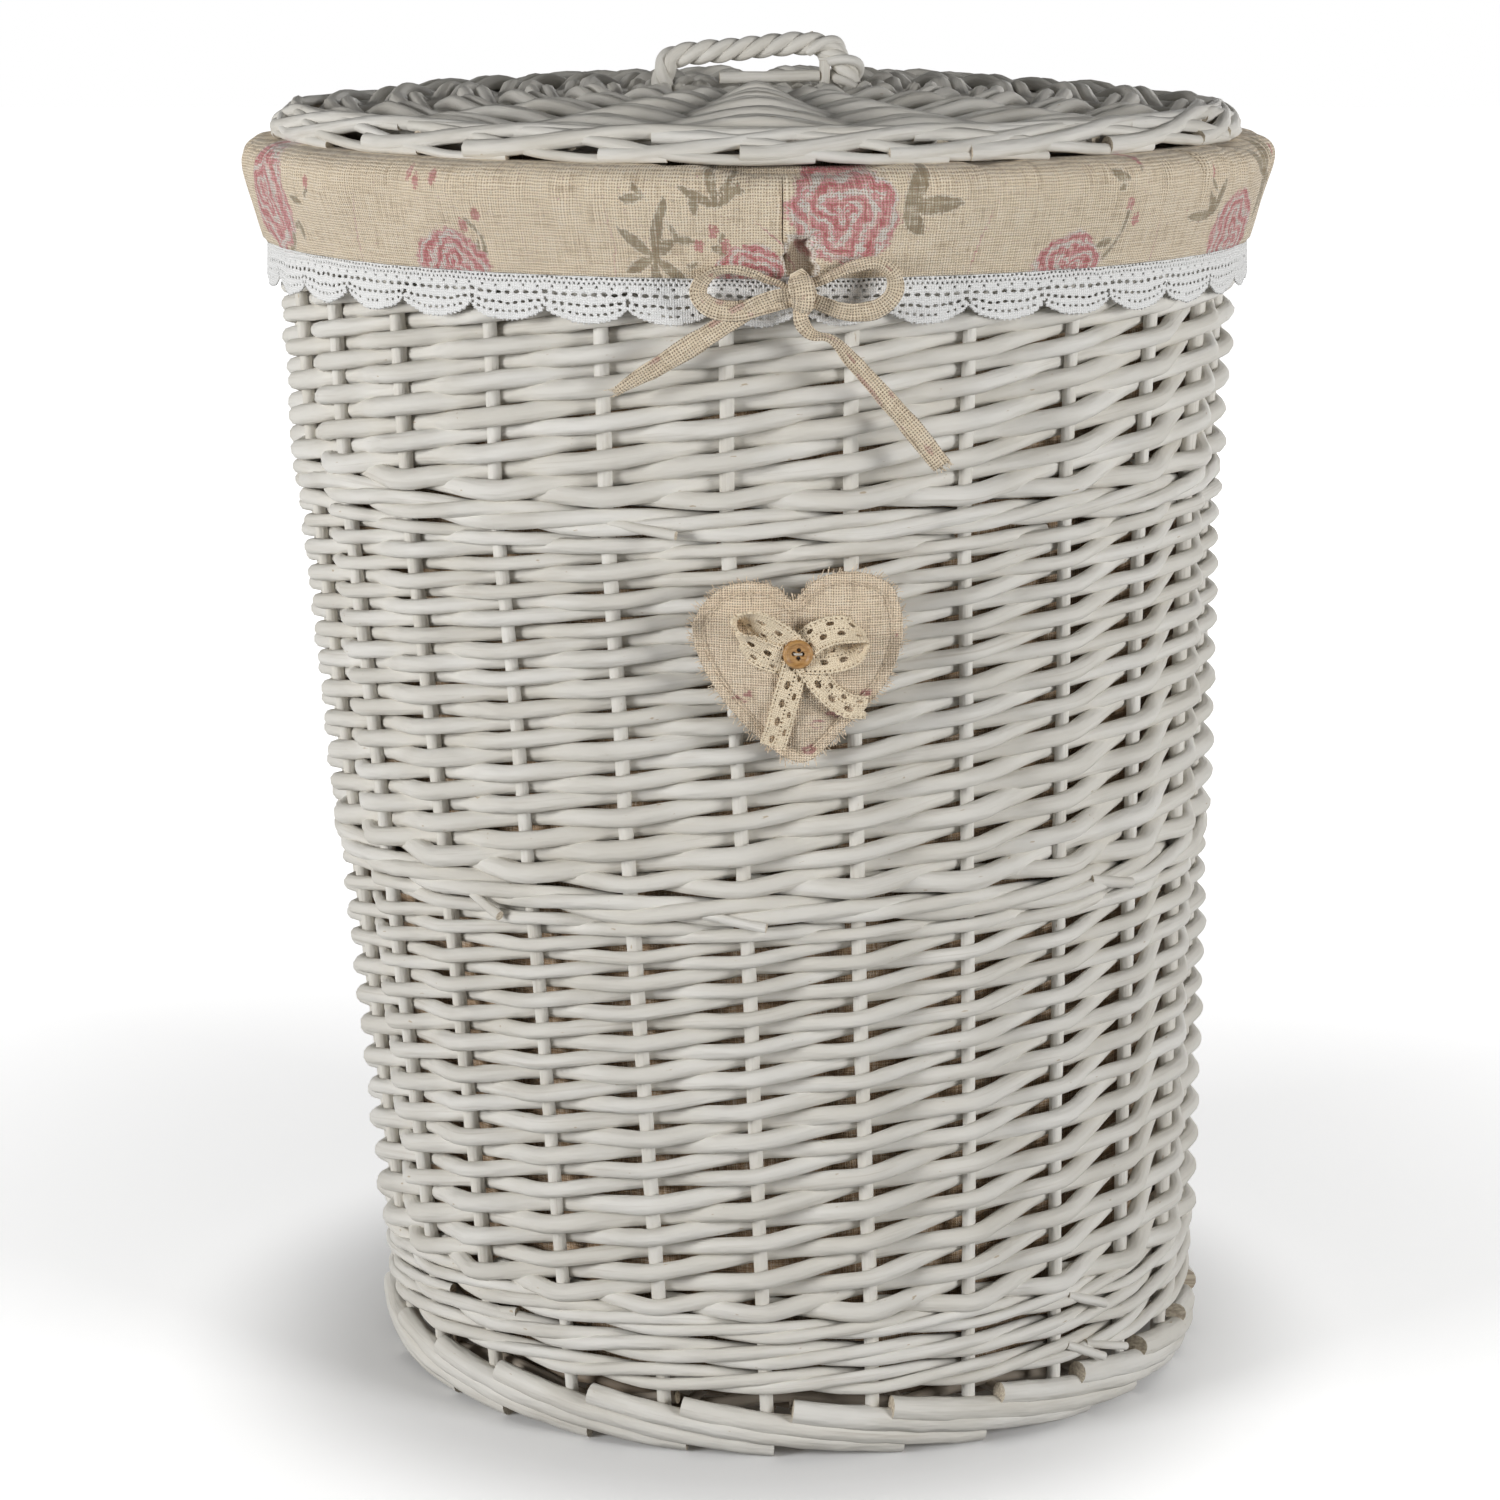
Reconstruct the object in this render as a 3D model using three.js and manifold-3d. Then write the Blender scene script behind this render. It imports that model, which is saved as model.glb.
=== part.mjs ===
// A tapered oval laundry basket of white painted willow: a woven wall on upright stakes, a removable
// fabric liner with a lace edged cuff and a drawstring bow, a stuffed heart on the front, and a
// lift-off woven lid with a twisted handle. Millimetres, +Z up, front towards -Y, floor at z = 0.

import * as THREE from "three";
import { mergeVertices } from "three/addons/utils/BufferGeometryUtils.js";
import Module from "manifold-3d";

const wasm = await Module();
wasm.setup();

// Plan shape: every ring is an oval, wider (X) than deep (Y).
const DEPTH_RATIO = 0.889;
const RING_SEGMENTS = 36;
const GAP = 0.3;

// Wall: half-widths grow with height, and the lower wall leans sideways.
const WALL_OUTER_BASE = 198;
const WALL_FLARE = 0.05;
const WALL_OUTER_MAX = 223.4;
const WALL_THICKNESS = 17;
const LEAN_AT_BASE = 17.75;
const LEAN_TOP_Z = 436;

// Heights of the wall's bands.
const FOOT_TOP_Z = 30;
const WALE_BOTTOM_Z = 33;
const WALL_BANDS = [
  ["bottom_wale", WALE_BOTTOM_Z, 67],
  ["lower_weave", 67, 254],
  ["lower_mid_wale", 254, 264],
  ["middle_weave", 264, 426],
  ["upper_mid_wale", 426, LEAN_TOP_Z],
  ["upper_weave", LEAN_TOP_Z, 560],
  ["top_border", 560, 579],
];

// Stakes.
const STAKE_COUNT = 25;
const STAKE_RADIUS = 2.9;
const STAKE_SIDES = 6;
const STAKE_FROM_OUTER = 9;
const STAKE_CLEARANCE = 0.4;
const STAKE_BOTTOM_Z = 12;
const STAKE_TOP_Z = 573;

// Base.
const FOOT_INNER = 183.5;
const FOOT_OUTER = 199;
const BASE_BOTTOM_Z = 11;
const BASE_TOP_Z = 25;
const BASE_STICK_LENGTH = 320;
const BASE_STICK_WIDTH = 8;
const BASE_STICK_HEIGHT = 6;
const STICK_SPACING = 24;

// Liner.
const CLOTH = 2.5;
const BAG_GAP = 1;
const BAG_BOTTOM_Z = 25.6;
const BAG_TOP_Z = 575;
const CUFF_TOP_Z = 584.4;
const CUFF_BOTTOM_Z = 539;
const CUFF_BULGE = 236;
const LACE_BOTTOM_Z = 518;
const LACE_INNER = 224.4;

// Drawstring bow, in front of the lace.
const BOW_X = 18;
const BOW_Z = 533;
const BOW_BACK_Y = -204;
const TAPE_WIDTH = 9;
const TAPE_THICKNESS = 1.6;

// Heart ornament.
const HEART_X = 18;
const HEART_Z = 377;
const HEART_WIDTH = 93;
const HEART_HEIGHT = 84;
const HEART_THICKNESS = 9;
const HEART_BACK_Y = -194;
const BUTTON_RADIUS = 6.3;

// Lid.
const LID_BOTTOM_Z = 585;
const LID_HALF_WIDTH = 225;
const LID_RIM_HEIGHT = 18;
const LID_RIM_WIDTH = 18;
const LID_WEAVE_BOTTOM_Z = 588;
const LID_TOP_Z = 610;
const LID_STICK_LENGTH = 380;
const HANDLE_HALF_SPAN = 43.2;
const HANDLE_RADIUS = 5.3;
const HANDLE_FOOT_Z = 591;
const HANDLE_TOP_Z = 630;

const willow = new THREE.MeshStandardMaterial({ color: 0xd9d3c8, roughness: 0.55, metalness: 0 });
const linen = new THREE.MeshStandardMaterial({ color: 0xc9b795, roughness: 0.9, metalness: 0 });
const lace = new THREE.MeshStandardMaterial({ color: 0xdfe2e2, roughness: 0.9, metalness: 0 });
const tape = new THREE.MeshStandardMaterial({ color: 0xb3a186, roughness: 0.9, metalness: 0 });
const heartLinen = new THREE.MeshStandardMaterial({ color: 0xb9a796, roughness: 0.9, metalness: 0 });
const creamLace = new THREE.MeshStandardMaterial({ color: 0xddcfb0, roughness: 0.9, metalness: 0 });
const buttonWood = new THREE.MeshStandardMaterial({ color: 0xa9814b, roughness: 0.45, metalness: 0 });

const basket = new THREE.Group();
basket.name = "woven_laundry_basket";

function point(x, y) {
  return new THREE.Vector2(x, y);
}

// Indexed geometry holding positions only, with every face turned outwards.
function closedGeometry(geometry) {
  const bare = geometry.clone();
  bare.deleteAttribute("normal");
  bare.deleteAttribute("uv");
  const merged = mergeVertices(bare, 1e-4);
  if (signedVolume(merged) < 0) {
    merged.index.array.reverse();
  }
  return merged;
}

function signedVolume(geometry) {
  const positions = geometry.attributes.position;
  const index = geometry.index.array;
  const a = new THREE.Vector3();
  const b = new THREE.Vector3();
  const c = new THREE.Vector3();
  let volume = 0;
  for (let i = 0; i < index.length; i += 3) {
    a.fromBufferAttribute(positions, index[i]);
    b.fromBufferAttribute(positions, index[i + 1]);
    c.fromBufferAttribute(positions, index[i + 2]);
    volume += a.dot(b.cross(c)) / 6;
  }
  return volume;
}

function toManifold(geometry) {
  const closed = closedGeometry(geometry);
  const mesh = new wasm.Mesh({
    numProp: 3,
    vertProperties: new Float32Array(closed.attributes.position.array),
    triVerts: new Uint32Array(closed.index.array),
  });
  return new wasm.Manifold(mesh);
}

function fromManifold(solid) {
  const mesh = solid.getMesh();
  const geometry = new THREE.BufferGeometry();
  geometry.setAttribute("position", new THREE.BufferAttribute(mesh.vertProperties, 3));
  geometry.setIndex(new THREE.BufferAttribute(mesh.triVerts, 1));
  return geometry;
}

function addPiece(name, geometry, material) {
  const closed = closedGeometry(geometry);
  closed.computeVertexNormals();
  const mesh = new THREE.Mesh(closed, material);
  mesh.name = name;
  basket.add(mesh);
}

// Moves every vertex by an offset that depends on its height.
function shiftByHeight(geometry, offsetAt) {
  const positions = geometry.attributes.position;
  for (let i = 0; i < positions.count; i += 1) {
    const offset = offsetAt(positions.getZ(i));
    positions.setX(i, positions.getX(i) + offset.x);
    positions.setY(i, positions.getY(i) + offset.y);
  }
  return geometry;
}

function lean(z) {
  return LEAN_AT_BASE * Math.max(0, 1 - z / LEAN_TOP_Z);
}

function leaning(geometry) {
  return shiftByHeight(geometry, (z) => point(lean(z), 0));
}

// Turns a (half-width, height) profile round the vertical axis into an oval solid.
function ovalLathe(profile) {
  const geometry = new THREE.LatheGeometry(profile, RING_SEGMENTS);
  geometry.rotateX(Math.PI / 2);
  geometry.scale(1, DEPTH_RATIO, 1);
  return geometry;
}

function ovalRing(profile) {
  return ovalLathe([...profile, profile[0]]);
}

function wallOuter(z) {
  return Math.min(WALL_OUTER_BASE + WALL_FLARE * z, WALL_OUTER_MAX);
}

function wallInner(z) {
  return WALL_OUTER_BASE + WALL_FLARE * z - WALL_THICKNESS;
}

// Point on a stake's centre line.
function stakeCentre(index, z) {
  const angle = ((index + 0.5) / STAKE_COUNT) * 2 * Math.PI;
  const radius = WALL_OUTER_BASE + WALL_FLARE * z - STAKE_FROM_OUTER;
  return point(lean(z) + radius * Math.cos(angle), DEPTH_RATIO * radius * Math.sin(angle));
}

function stakeRod(index, radius, bottom, top) {
  const profile = [
    point(0, bottom),
    point(radius, bottom),
    point(radius, LEAN_TOP_Z),
    point(radius, top),
    point(0, top),
  ];
  const rod = new THREE.LatheGeometry(profile, STAKE_SIDES);
  rod.rotateX(Math.PI / 2);
  return shiftByHeight(rod, (z) => stakeCentre(index, z));
}

function stakeHoles() {
  const holes = [];
  for (let index = 0; index < STAKE_COUNT; index += 1) {
    const radius = STAKE_RADIUS + STAKE_CLEARANCE;
    const bottom = STAKE_BOTTOM_Z - STAKE_CLEARANCE;
    const top = STAKE_TOP_Z + STAKE_CLEARANCE;
    holes.push(toManifold(stakeRod(index, radius, bottom, top)));
  }
  return wasm.Manifold.union(holes);
}

function addStakes() {
  for (let index = 0; index < STAKE_COUNT; index += 1) {
    const name = `stake_${String(index + 1).padStart(2, "0")}`;
    addPiece(name, stakeRod(index, STAKE_RADIUS, STAKE_BOTTOM_Z, STAKE_TOP_Z), willow);
  }
}

function addWallBand(name, bottom, top, holes) {
  const low = bottom + GAP / 2;
  const high = top - GAP / 2;
  const levels = [low, high];
  const kink = (WALL_OUTER_MAX - WALL_OUTER_BASE) / WALL_FLARE;
  if (low < kink && kink < high) {
    levels.splice(1, 0, kink);
  }
  const outer = levels.map((z) => point(wallOuter(z), z));
  const ring = leaning(ovalRing([point(wallInner(low), low), ...outer, point(wallInner(high), high)]));
  addPiece(name, fromManifold(toManifold(ring).subtract(holes)), willow);
}

function addFootBorder(holes) {
  const chamfer = 5;
  const profile = [
    point(FOOT_INNER, 0),
    point(FOOT_OUTER - chamfer, 0),
    point(FOOT_OUTER, chamfer),
    point(FOOT_OUTER, FOOT_TOP_Z - chamfer),
    point(FOOT_OUTER - chamfer / 2, FOOT_TOP_Z),
    point(FOOT_INNER, FOOT_TOP_Z),
  ];
  const ring = leaning(ovalRing(profile));
  addPiece("foot_border", fromManifold(toManifold(ring).subtract(holes)), willow);
}

// Four sticks crossing in pairs, each lying half in the other pair. side picks the notched face.
function crossedSticks(length, width, height, bottom, centreX, grow) {
  const sticks = [];
  const notchGap = GAP - grow;
  for (const alongX of [true, false]) {
    for (const side of [-1, 1]) {
      const sizeX = alongX ? length : width;
      const sizeY = alongX ? width : length * DEPTH_RATIO;
      const bar = new THREE.BoxGeometry(sizeX + 2 * grow, sizeY + 2 * grow, height + 2 * grow);
      const offset = (side * STICK_SPACING) / 2;
      bar.translate(centreX + (alongX ? 0 : offset), alongX ? offset : 0, bottom + height / 2);
      let solid = toManifold(bar);
      if (grow === 0) {
        solid = solid.subtract(stickNotches(alongX, width, height, bottom, centreX, notchGap));
      }
      sticks.push(solid);
    }
  }
  return sticks;
}

function stickNotches(alongX, width, height, bottom, centreX, gap) {
  const notches = [];
  const notchHeight = height / 2 + gap;
  const notchZ = alongX ? bottom + height - notchHeight / 2 + 0.5 : bottom + notchHeight / 2 - 0.5;
  for (const x of [-1, 1]) {
    for (const y of [-1, 1]) {
      const size = width + 2 * gap;
      const notch = new THREE.BoxGeometry(size, size, notchHeight + 1);
      notch.translate(centreX + (x * STICK_SPACING) / 2, (y * STICK_SPACING) / 2, notchZ);
      notches.push(toManifold(notch));
    }
  }
  return wasm.Manifold.union(notches);
}

// The woven base disc, channelled on its underside for the base sticks.
function addBase() {
  const centreX = lean(BASE_BOTTOM_Z);
  const radius = FOOT_INNER - 0.6;
  const profile = [
    point(0, BASE_BOTTOM_Z),
    point(radius - 3, BASE_BOTTOM_Z),
    point(radius, BASE_BOTTOM_Z + 3),
    point(radius, BASE_TOP_Z),
    point(0, BASE_TOP_Z),
  ];
  const disc = ovalLathe(profile);
  disc.translate(centreX, 0, 0);
  const size = [BASE_STICK_LENGTH, BASE_STICK_WIDTH, BASE_STICK_HEIGHT, BASE_BOTTOM_Z, centreX];
  const channels = wasm.Manifold.union(crossedSticks(...size, GAP));
  addPiece("base_weave", fromManifold(toManifold(disc).subtract(channels)), willow);
  crossedSticks(...size, 0).forEach((stick, index) => {
    addPiece(`base_stick_${index + 1}`, fromManifold(stick), willow);
  });
}

function bagOuter(z) {
  return wallInner(z) - BAG_GAP;
}

function addLiner() {
  const bag = [
    point(0, BAG_BOTTOM_Z),
    point(bagOuter(BAG_BOTTOM_Z), BAG_BOTTOM_Z),
    point(bagOuter(LEAN_TOP_Z), LEAN_TOP_Z),
    point(bagOuter(BAG_TOP_Z), BAG_TOP_Z),
    point(bagOuter(BAG_TOP_Z) - CLOTH, BAG_TOP_Z),
    point(bagOuter(LEAN_TOP_Z) - CLOTH, LEAN_TOP_Z),
    point(bagOuter(BAG_BOTTOM_Z) - CLOTH, BAG_BOTTOM_Z + CLOTH),
    point(0, BAG_BOTTOM_Z + CLOTH),
  ];
  addPiece("liner_bag", leaning(ovalLathe(bag)), linen);

  const rim = bagOuter(BAG_TOP_Z);
  const cuff = [
    point(rim, BAG_TOP_Z + GAP),
    point(rim, CUFF_TOP_Z - CLOTH),
    point(CUFF_BULGE - 8, CUFF_TOP_Z - CLOTH),
    point(CUFF_BULGE - CLOTH, CUFF_TOP_Z - 11),
    point(CUFF_BULGE - CLOTH - 1, CUFF_TOP_Z - 24),
    point(LACE_INNER + 0.6, CUFF_BOTTOM_Z),
    point(LACE_INNER + 0.6 + CLOTH, CUFF_BOTTOM_Z),
    point(CUFF_BULGE - 1, CUFF_TOP_Z - 25),
    point(CUFF_BULGE, CUFF_TOP_Z - 11),
    point(CUFF_BULGE - 6, CUFF_TOP_Z),
    point(rim - CLOTH, CUFF_TOP_Z),
    point(rim - CLOTH, BAG_TOP_Z + GAP),
  ];
  addPiece("liner_cuff", ovalRing(cuff), linen);

  const edging = [
    point(LACE_INNER, LACE_BOTTOM_Z),
    point(LACE_INNER + 2, LACE_BOTTOM_Z),
    point(LACE_INNER + 2, CUFF_BOTTOM_Z - GAP),
    point(LACE_INNER, CUFF_BOTTOM_Z - GAP),
  ];
  addPiece("lace_trim", ovalRing(edging), lace);
}

// A flat outline in the front plane (X across, Z up), given thickness backwards from frontY.
function frontPlate(shape, frontY, thickness) {
  const plate = new THREE.ExtrudeGeometry(shape, { depth: thickness, bevelEnabled: false, curveSegments: 8 });
  plate.rotateX(Math.PI / 2);
  plate.translate(0, frontY + thickness, 0);
  return plate;
}

// A strip of tape between two points in the front plane.
function strip(fromX, fromZ, toX, toZ, width) {
  const side = point(-(toZ - fromZ), toX - fromX).normalize().multiplyScalar(width / 2);
  return new THREE.Shape([
    point(fromX - side.x, fromZ - side.y),
    point(toX - side.x, toZ - side.y),
    point(toX + side.x, toZ + side.y),
    point(fromX + side.x, fromZ + side.y),
  ]);
}

// A bow loop: a drop shaped band with its point at (x, z), reaching sideways.
function loopBand(x, z, reach, height, band, frontY, thickness) {
  const whole = frontPlate(dropOutline(x, z, reach, height, 0), frontY, thickness);
  const inside = frontPlate(dropOutline(x, z, reach, height, band), frontY - 1, thickness + 2);
  return fromManifold(toManifold(whole).subtract(toManifold(inside)));
}

function dropOutline(x, z, reach, height, inset) {
  const way = Math.sign(reach);
  const start = x + way * inset * 2.2;
  const end = x + reach - way * inset;
  const half = height / 2 - inset;
  const shape = new THREE.Shape();
  shape.moveTo(start, z);
  shape.bezierCurveTo(start + (end - start) * 0.4, z + half * 1.2, end, z + half * 1.5, end, z);
  shape.bezierCurveTo(end, z - half * 1.5, start + (end - start) * 0.4, z - half * 1.2, start, z);
  return shape;
}

function addDrawstringBow() {
  const knot = new THREE.SphereGeometry(1, 10, 6);
  knot.scale(7, 4.6, 6.5);
  knot.translate(BOW_X, BOW_BACK_Y - 4.8, BOW_Z);
  addPiece("tie_knot", knot, tape);

  const loopFront = BOW_BACK_Y - 7;
  addPiece("tie_loop_left", loopBand(BOW_X - 8, BOW_Z + 1, -37, 26, 4, loopFront, 6), tape);
  addPiece("tie_loop_right", loopBand(BOW_X + 8, BOW_Z + 1, 31, 24, 4, loopFront, 6), tape);

  const tailFront = BOW_BACK_Y - TAPE_THICKNESS;
  const leftTail = strip(BOW_X - 8, BOW_Z - 16, -57, 486, TAPE_WIDTH);
  addPiece("tie_tail_left", frontPlate(leftTail, tailFront, TAPE_THICKNESS), tape);
  const rightTail = strip(BOW_X + 9, BOW_Z - 17, 79, 458, TAPE_WIDTH);
  addPiece("tie_tail_right", frontPlate(rightTail, tailFront, TAPE_THICKNESS), tape);
}

function heartShape() {
  const w = HEART_WIDTH / 2;
  const top = HEART_HEIGHT * 0.45;
  const tip = -HEART_HEIGHT * 0.55;
  const shape = new THREE.Shape();
  shape.moveTo(0, top * 0.75);
  shape.bezierCurveTo(w * 0.25, top * 1.12, w, top * 1.15, w, top * 0.25);
  shape.bezierCurveTo(w, tip * 0.35, w * 0.45, tip * 0.6, 0, tip);
  shape.bezierCurveTo(-w * 0.45, tip * 0.6, -w, tip * 0.35, -w, top * 0.25);
  shape.bezierCurveTo(-w, top * 1.15, -w * 0.25, top * 1.12, 0, top * 0.75);
  return shape;
}

// Puts a plate made round the origin onto the sloping front of the wall.
function ontoHeart(geometry) {
  geometry.rotateX(Math.atan(WALL_FLARE * DEPTH_RATIO));
  geometry.translate(HEART_X, HEART_BACK_Y, HEART_Z);
  return geometry;
}

function addHeart() {
  const pad = frontPlate(heartShape(), -HEART_THICKNESS, HEART_THICKNESS);
  addPiece("heart_pad", ontoHeart(pad), heartLinen);

  const bowFront = -HEART_THICKNESS - GAP - 3;
  for (const [name, way] of [["left", -1], ["right", 1]]) {
    const loop = loopBand(way * 7, 9, way * 26, 22, 6, bowFront, 3);
    addPiece(`heart_bow_loop_${name}`, ontoHeart(loop), creamLace);
    const tail = strip(way * 5, -3, way * 24 - 4, -36, 9);
    addPiece(`heart_bow_tail_${name}`, ontoHeart(frontPlate(tail, bowFront + 1, 2)), creamLace);
  }

  const disc = new THREE.Shape();
  disc.absarc(0, 8, BUTTON_RADIUS, 0, 2 * Math.PI);
  for (const x of [-1.6, 1.6]) {
    for (const z of [6.4, 9.6]) {
      const hole = new THREE.Path();
      hole.absarc(x, z, 0.8, 0, 2 * Math.PI, true);
      disc.holes.push(hole);
    }
  }
  const button = frontPlate(disc, bowFront - GAP - 3, 3);
  addPiece("heart_button", ontoHeart(button), buttonWood);
}

function handleArch() {
  const top = HANDLE_TOP_Z - HANDLE_RADIUS;
  const path = new THREE.CatmullRomCurve3([
    new THREE.Vector3(-HANDLE_HALF_SPAN, 0, HANDLE_FOOT_Z),
    new THREE.Vector3(-HANDLE_HALF_SPAN, 0, LID_TOP_Z - 8),
    new THREE.Vector3(-HANDLE_HALF_SPAN + 0.5, 0, LID_TOP_Z + 2),
    new THREE.Vector3(-HANDLE_HALF_SPAN + 6, 0, top - 4),
    new THREE.Vector3(-HANDLE_HALF_SPAN / 2, 0, top),
    new THREE.Vector3(HANDLE_HALF_SPAN / 2, 0, top),
    new THREE.Vector3(HANDLE_HALF_SPAN - 6, 0, top - 4),
    new THREE.Vector3(HANDLE_HALF_SPAN - 0.5, 0, LID_TOP_Z + 2),
    new THREE.Vector3(HANDLE_HALF_SPAN, 0, LID_TOP_Z - 8),
    new THREE.Vector3(HANDLE_HALF_SPAN, 0, HANDLE_FOOT_Z),
  ]);
  const section = new THREE.Shape();
  section.absarc(0, 0, HANDLE_RADIUS, 0, 2 * Math.PI);
  return new THREE.ExtrudeGeometry(section, { steps: 24, curveSegments: 4, extrudePath: path });
}

// Upright sockets that the handle's two feet stand in.
function handleSockets() {
  const bottom = HANDLE_FOOT_Z - GAP;
  const top = LID_TOP_Z + 5;
  const sockets = [-1, 1].map((way) => {
    const socket = new THREE.CylinderGeometry(HANDLE_RADIUS + 0.9, HANDLE_RADIUS + 0.9, top - bottom, 10);
    socket.rotateX(Math.PI / 2);
    socket.translate(way * HANDLE_HALF_SPAN, 0, (top + bottom) / 2);
    return toManifold(socket);
  });
  return wasm.Manifold.union(sockets);
}

function addLid() {
  const rimInner = LID_HALF_WIDTH - LID_RIM_WIDTH;
  const chamfer = 5;
  const rim = [
    point(rimInner, LID_BOTTOM_Z),
    point(LID_HALF_WIDTH - chamfer, LID_BOTTOM_Z),
    point(LID_HALF_WIDTH, LID_BOTTOM_Z + chamfer),
    point(LID_HALF_WIDTH, LID_BOTTOM_Z + LID_RIM_HEIGHT - chamfer),
    point(LID_HALF_WIDTH - chamfer, LID_BOTTOM_Z + LID_RIM_HEIGHT),
    point(rimInner, LID_BOTTOM_Z + LID_RIM_HEIGHT),
  ];
  addPiece("lid_border", ovalRing(rim), willow);

  const edge = rimInner - 0.5;
  const panel = ovalLathe([
    point(0, LID_WEAVE_BOTTOM_Z),
    point(edge, LID_WEAVE_BOTTOM_Z),
    point(edge, LID_BOTTOM_Z + LID_RIM_HEIGHT - 2),
    point(120, LID_TOP_Z - 4),
    point(55, LID_TOP_Z),
    point(0, LID_TOP_Z),
  ]);
  const size = [LID_STICK_LENGTH, BASE_STICK_WIDTH, BASE_STICK_HEIGHT, LID_WEAVE_BOTTOM_Z, 0];
  const channels = wasm.Manifold.union(crossedSticks(...size, GAP));
  const cutters = channels.add(handleSockets());
  addPiece("lid_weave", fromManifold(toManifold(panel).subtract(cutters)), willow);
  crossedSticks(...size, 0).forEach((stick, index) => {
    addPiece(`lid_stick_${index + 1}`, fromManifold(stick), willow);
  });
  addPiece("lid_handle", handleArch(), willow);
}

const holes = stakeHoles();
addFootBorder(holes);
addBase();
for (const [name, bottom, top] of WALL_BANDS) {
  addWallBand(name, bottom, top, holes);
}
addStakes();
addLiner();
addDrawstringBow();
addHeart();
addLid();

export default basket;
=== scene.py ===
"""Looks of a white woven willow laundry basket with a printed linen liner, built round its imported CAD."""

import bpy
import numpy as np
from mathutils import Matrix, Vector


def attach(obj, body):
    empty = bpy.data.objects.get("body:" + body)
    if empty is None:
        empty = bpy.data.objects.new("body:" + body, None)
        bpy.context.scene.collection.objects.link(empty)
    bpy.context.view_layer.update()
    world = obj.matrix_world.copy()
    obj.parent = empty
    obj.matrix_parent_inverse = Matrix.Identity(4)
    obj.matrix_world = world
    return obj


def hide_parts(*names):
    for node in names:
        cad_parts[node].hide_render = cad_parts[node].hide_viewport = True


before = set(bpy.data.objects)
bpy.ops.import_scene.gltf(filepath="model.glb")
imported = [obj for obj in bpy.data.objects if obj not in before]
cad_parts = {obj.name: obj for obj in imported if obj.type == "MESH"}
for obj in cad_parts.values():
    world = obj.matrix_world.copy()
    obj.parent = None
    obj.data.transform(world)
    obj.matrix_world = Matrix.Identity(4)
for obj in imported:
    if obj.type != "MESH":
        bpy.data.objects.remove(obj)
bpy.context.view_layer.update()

MM = 0.001
TURN = 2 * np.pi
UP = np.array([0.0, 0.0, 1.0])
BACK = np.array([0.0, 1.0, 0.0])

# Oval wall, as in the CAD: half-widths along X, and DEPTH times as much along Y.
DEPTH = 0.889
FLARE = 0.05
LEAN_AT_BASE = 17.75 * MM
LEAN_TOP = 436 * MM
STAKES = 25
STAKE_LINE_BASE = 188.3 * MM
STAKE_RADIUS = 3.3 * MM
STAKE_BOTTOM = 8 * MM
STAKE_TOP = 570 * MM

# Woven panels: (node, first row, last row, rows), heights of rod centres.
PANELS = [
    ("lower_weave", 70.5 * MM, 250.5 * MM, 24),
    ("middle_weave", 270.5 * MM, 422.5 * MM, 22),
    ("upper_weave", 443.0 * MM, 558 * MM, 16),
]
BUTT_RADIUS = 4.5 * MM
TIP_RADIUS = 3.25 * MM
STEPS_PER_GAP = 10
UNEVEN = 0.09
UNEVEN_LENGTH = 9 * MM

# Wales: (node, row heights, rod radius, stray ends).
WALES = [
    ("bottom_wale", [36.5 * MM, 49.5 * MM, 62.5 * MM], 3.0 * MM, 5),
    ("lower_mid_wale", [260.0 * MM], 3.5 * MM, 3),
    ("upper_mid_wale", [432.5 * MM], 3.5 * MM, 3),
    ("top_border", [564.0 * MM, 571.5 * MM], 3.6 * MM, 0),
]
WALE_RISE = 3.3 * MM

# Foot border.
FOOT_ROD_RADIUS = 5.3 * MM
FOOT_ROD_GAPS = 3.0
FOOT_TOP = 26.5 * MM

# Base: a woven disc on crossed sticks.
BASE_HALF = 177 * MM
BASE_Z = 19 * MM
BASE_SPOKES = 23
BASE_STICK_LONG = 320 * MM
BASE_STICK_Z = 14.5 * MM
STICK_SPACING = 24 * MM
STICK_RADIUS = 3.4 * MM

# Lid.
LID_HALF = 225 * MM
LID_EDGE_Z = 592.5 * MM
LID_CENTRE_Z = 601.5 * MM
LID_BACK_DROP = 4.2 * MM
LID_SPOKES = 17
LID_STROKES = 23
LID_WEAVE_OUTER = 209 * MM
LID_STICK_LONG = 380 * MM
LID_STICK_Z = 591.5 * MM
HANDLE_LINE = [
    # (millimetres across, height) of the rope's middle, from its left foot over to its right foot
    (-43.2, 598), (-43.2, 606), (-42.2, 614), (-36.2, 619.5), (-10, 622),
    (21.2, 625), (35.2, 621), (42.2, 611), (43.2, 598),
]

# Liner, its lace in millimetres.
CUFF_LACE_Z = 539 * MM
CUFF_HALF = 230 * MM
BAG_HALF = 177.4 * MM
BAG_BOTTOM = 30 * MM
BAG_TOP = 575 * MM
LACE_HALF = 226.2 * MM
LACE_REPEATS = 37
LACE_REPEAT = 36.3
LACE_LENGTH = 1343.3
LACE_ROWS = [
    # (depth below the sewn edge, how far it follows the scallops, pitch, half width and height of a hole)
    (1.5, 0.0, 2.2, 0.55, 0.45),
    (3.3, 0.0, 2.2, 0.55, 0.45),
    (5.1, 0.0, 2.2, 0.55, 0.45),
    (7.6, 0.6, 4.4, 1.5, 0.75),
    (10.2, 2.6, 3.6, 1.2, 0.65),
    (12.0, 4.6, 3.1, 0.9, 0.5),
]
CLOTH = 1.2 * MM
CLOTH_SHEEN = 0.15

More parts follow.
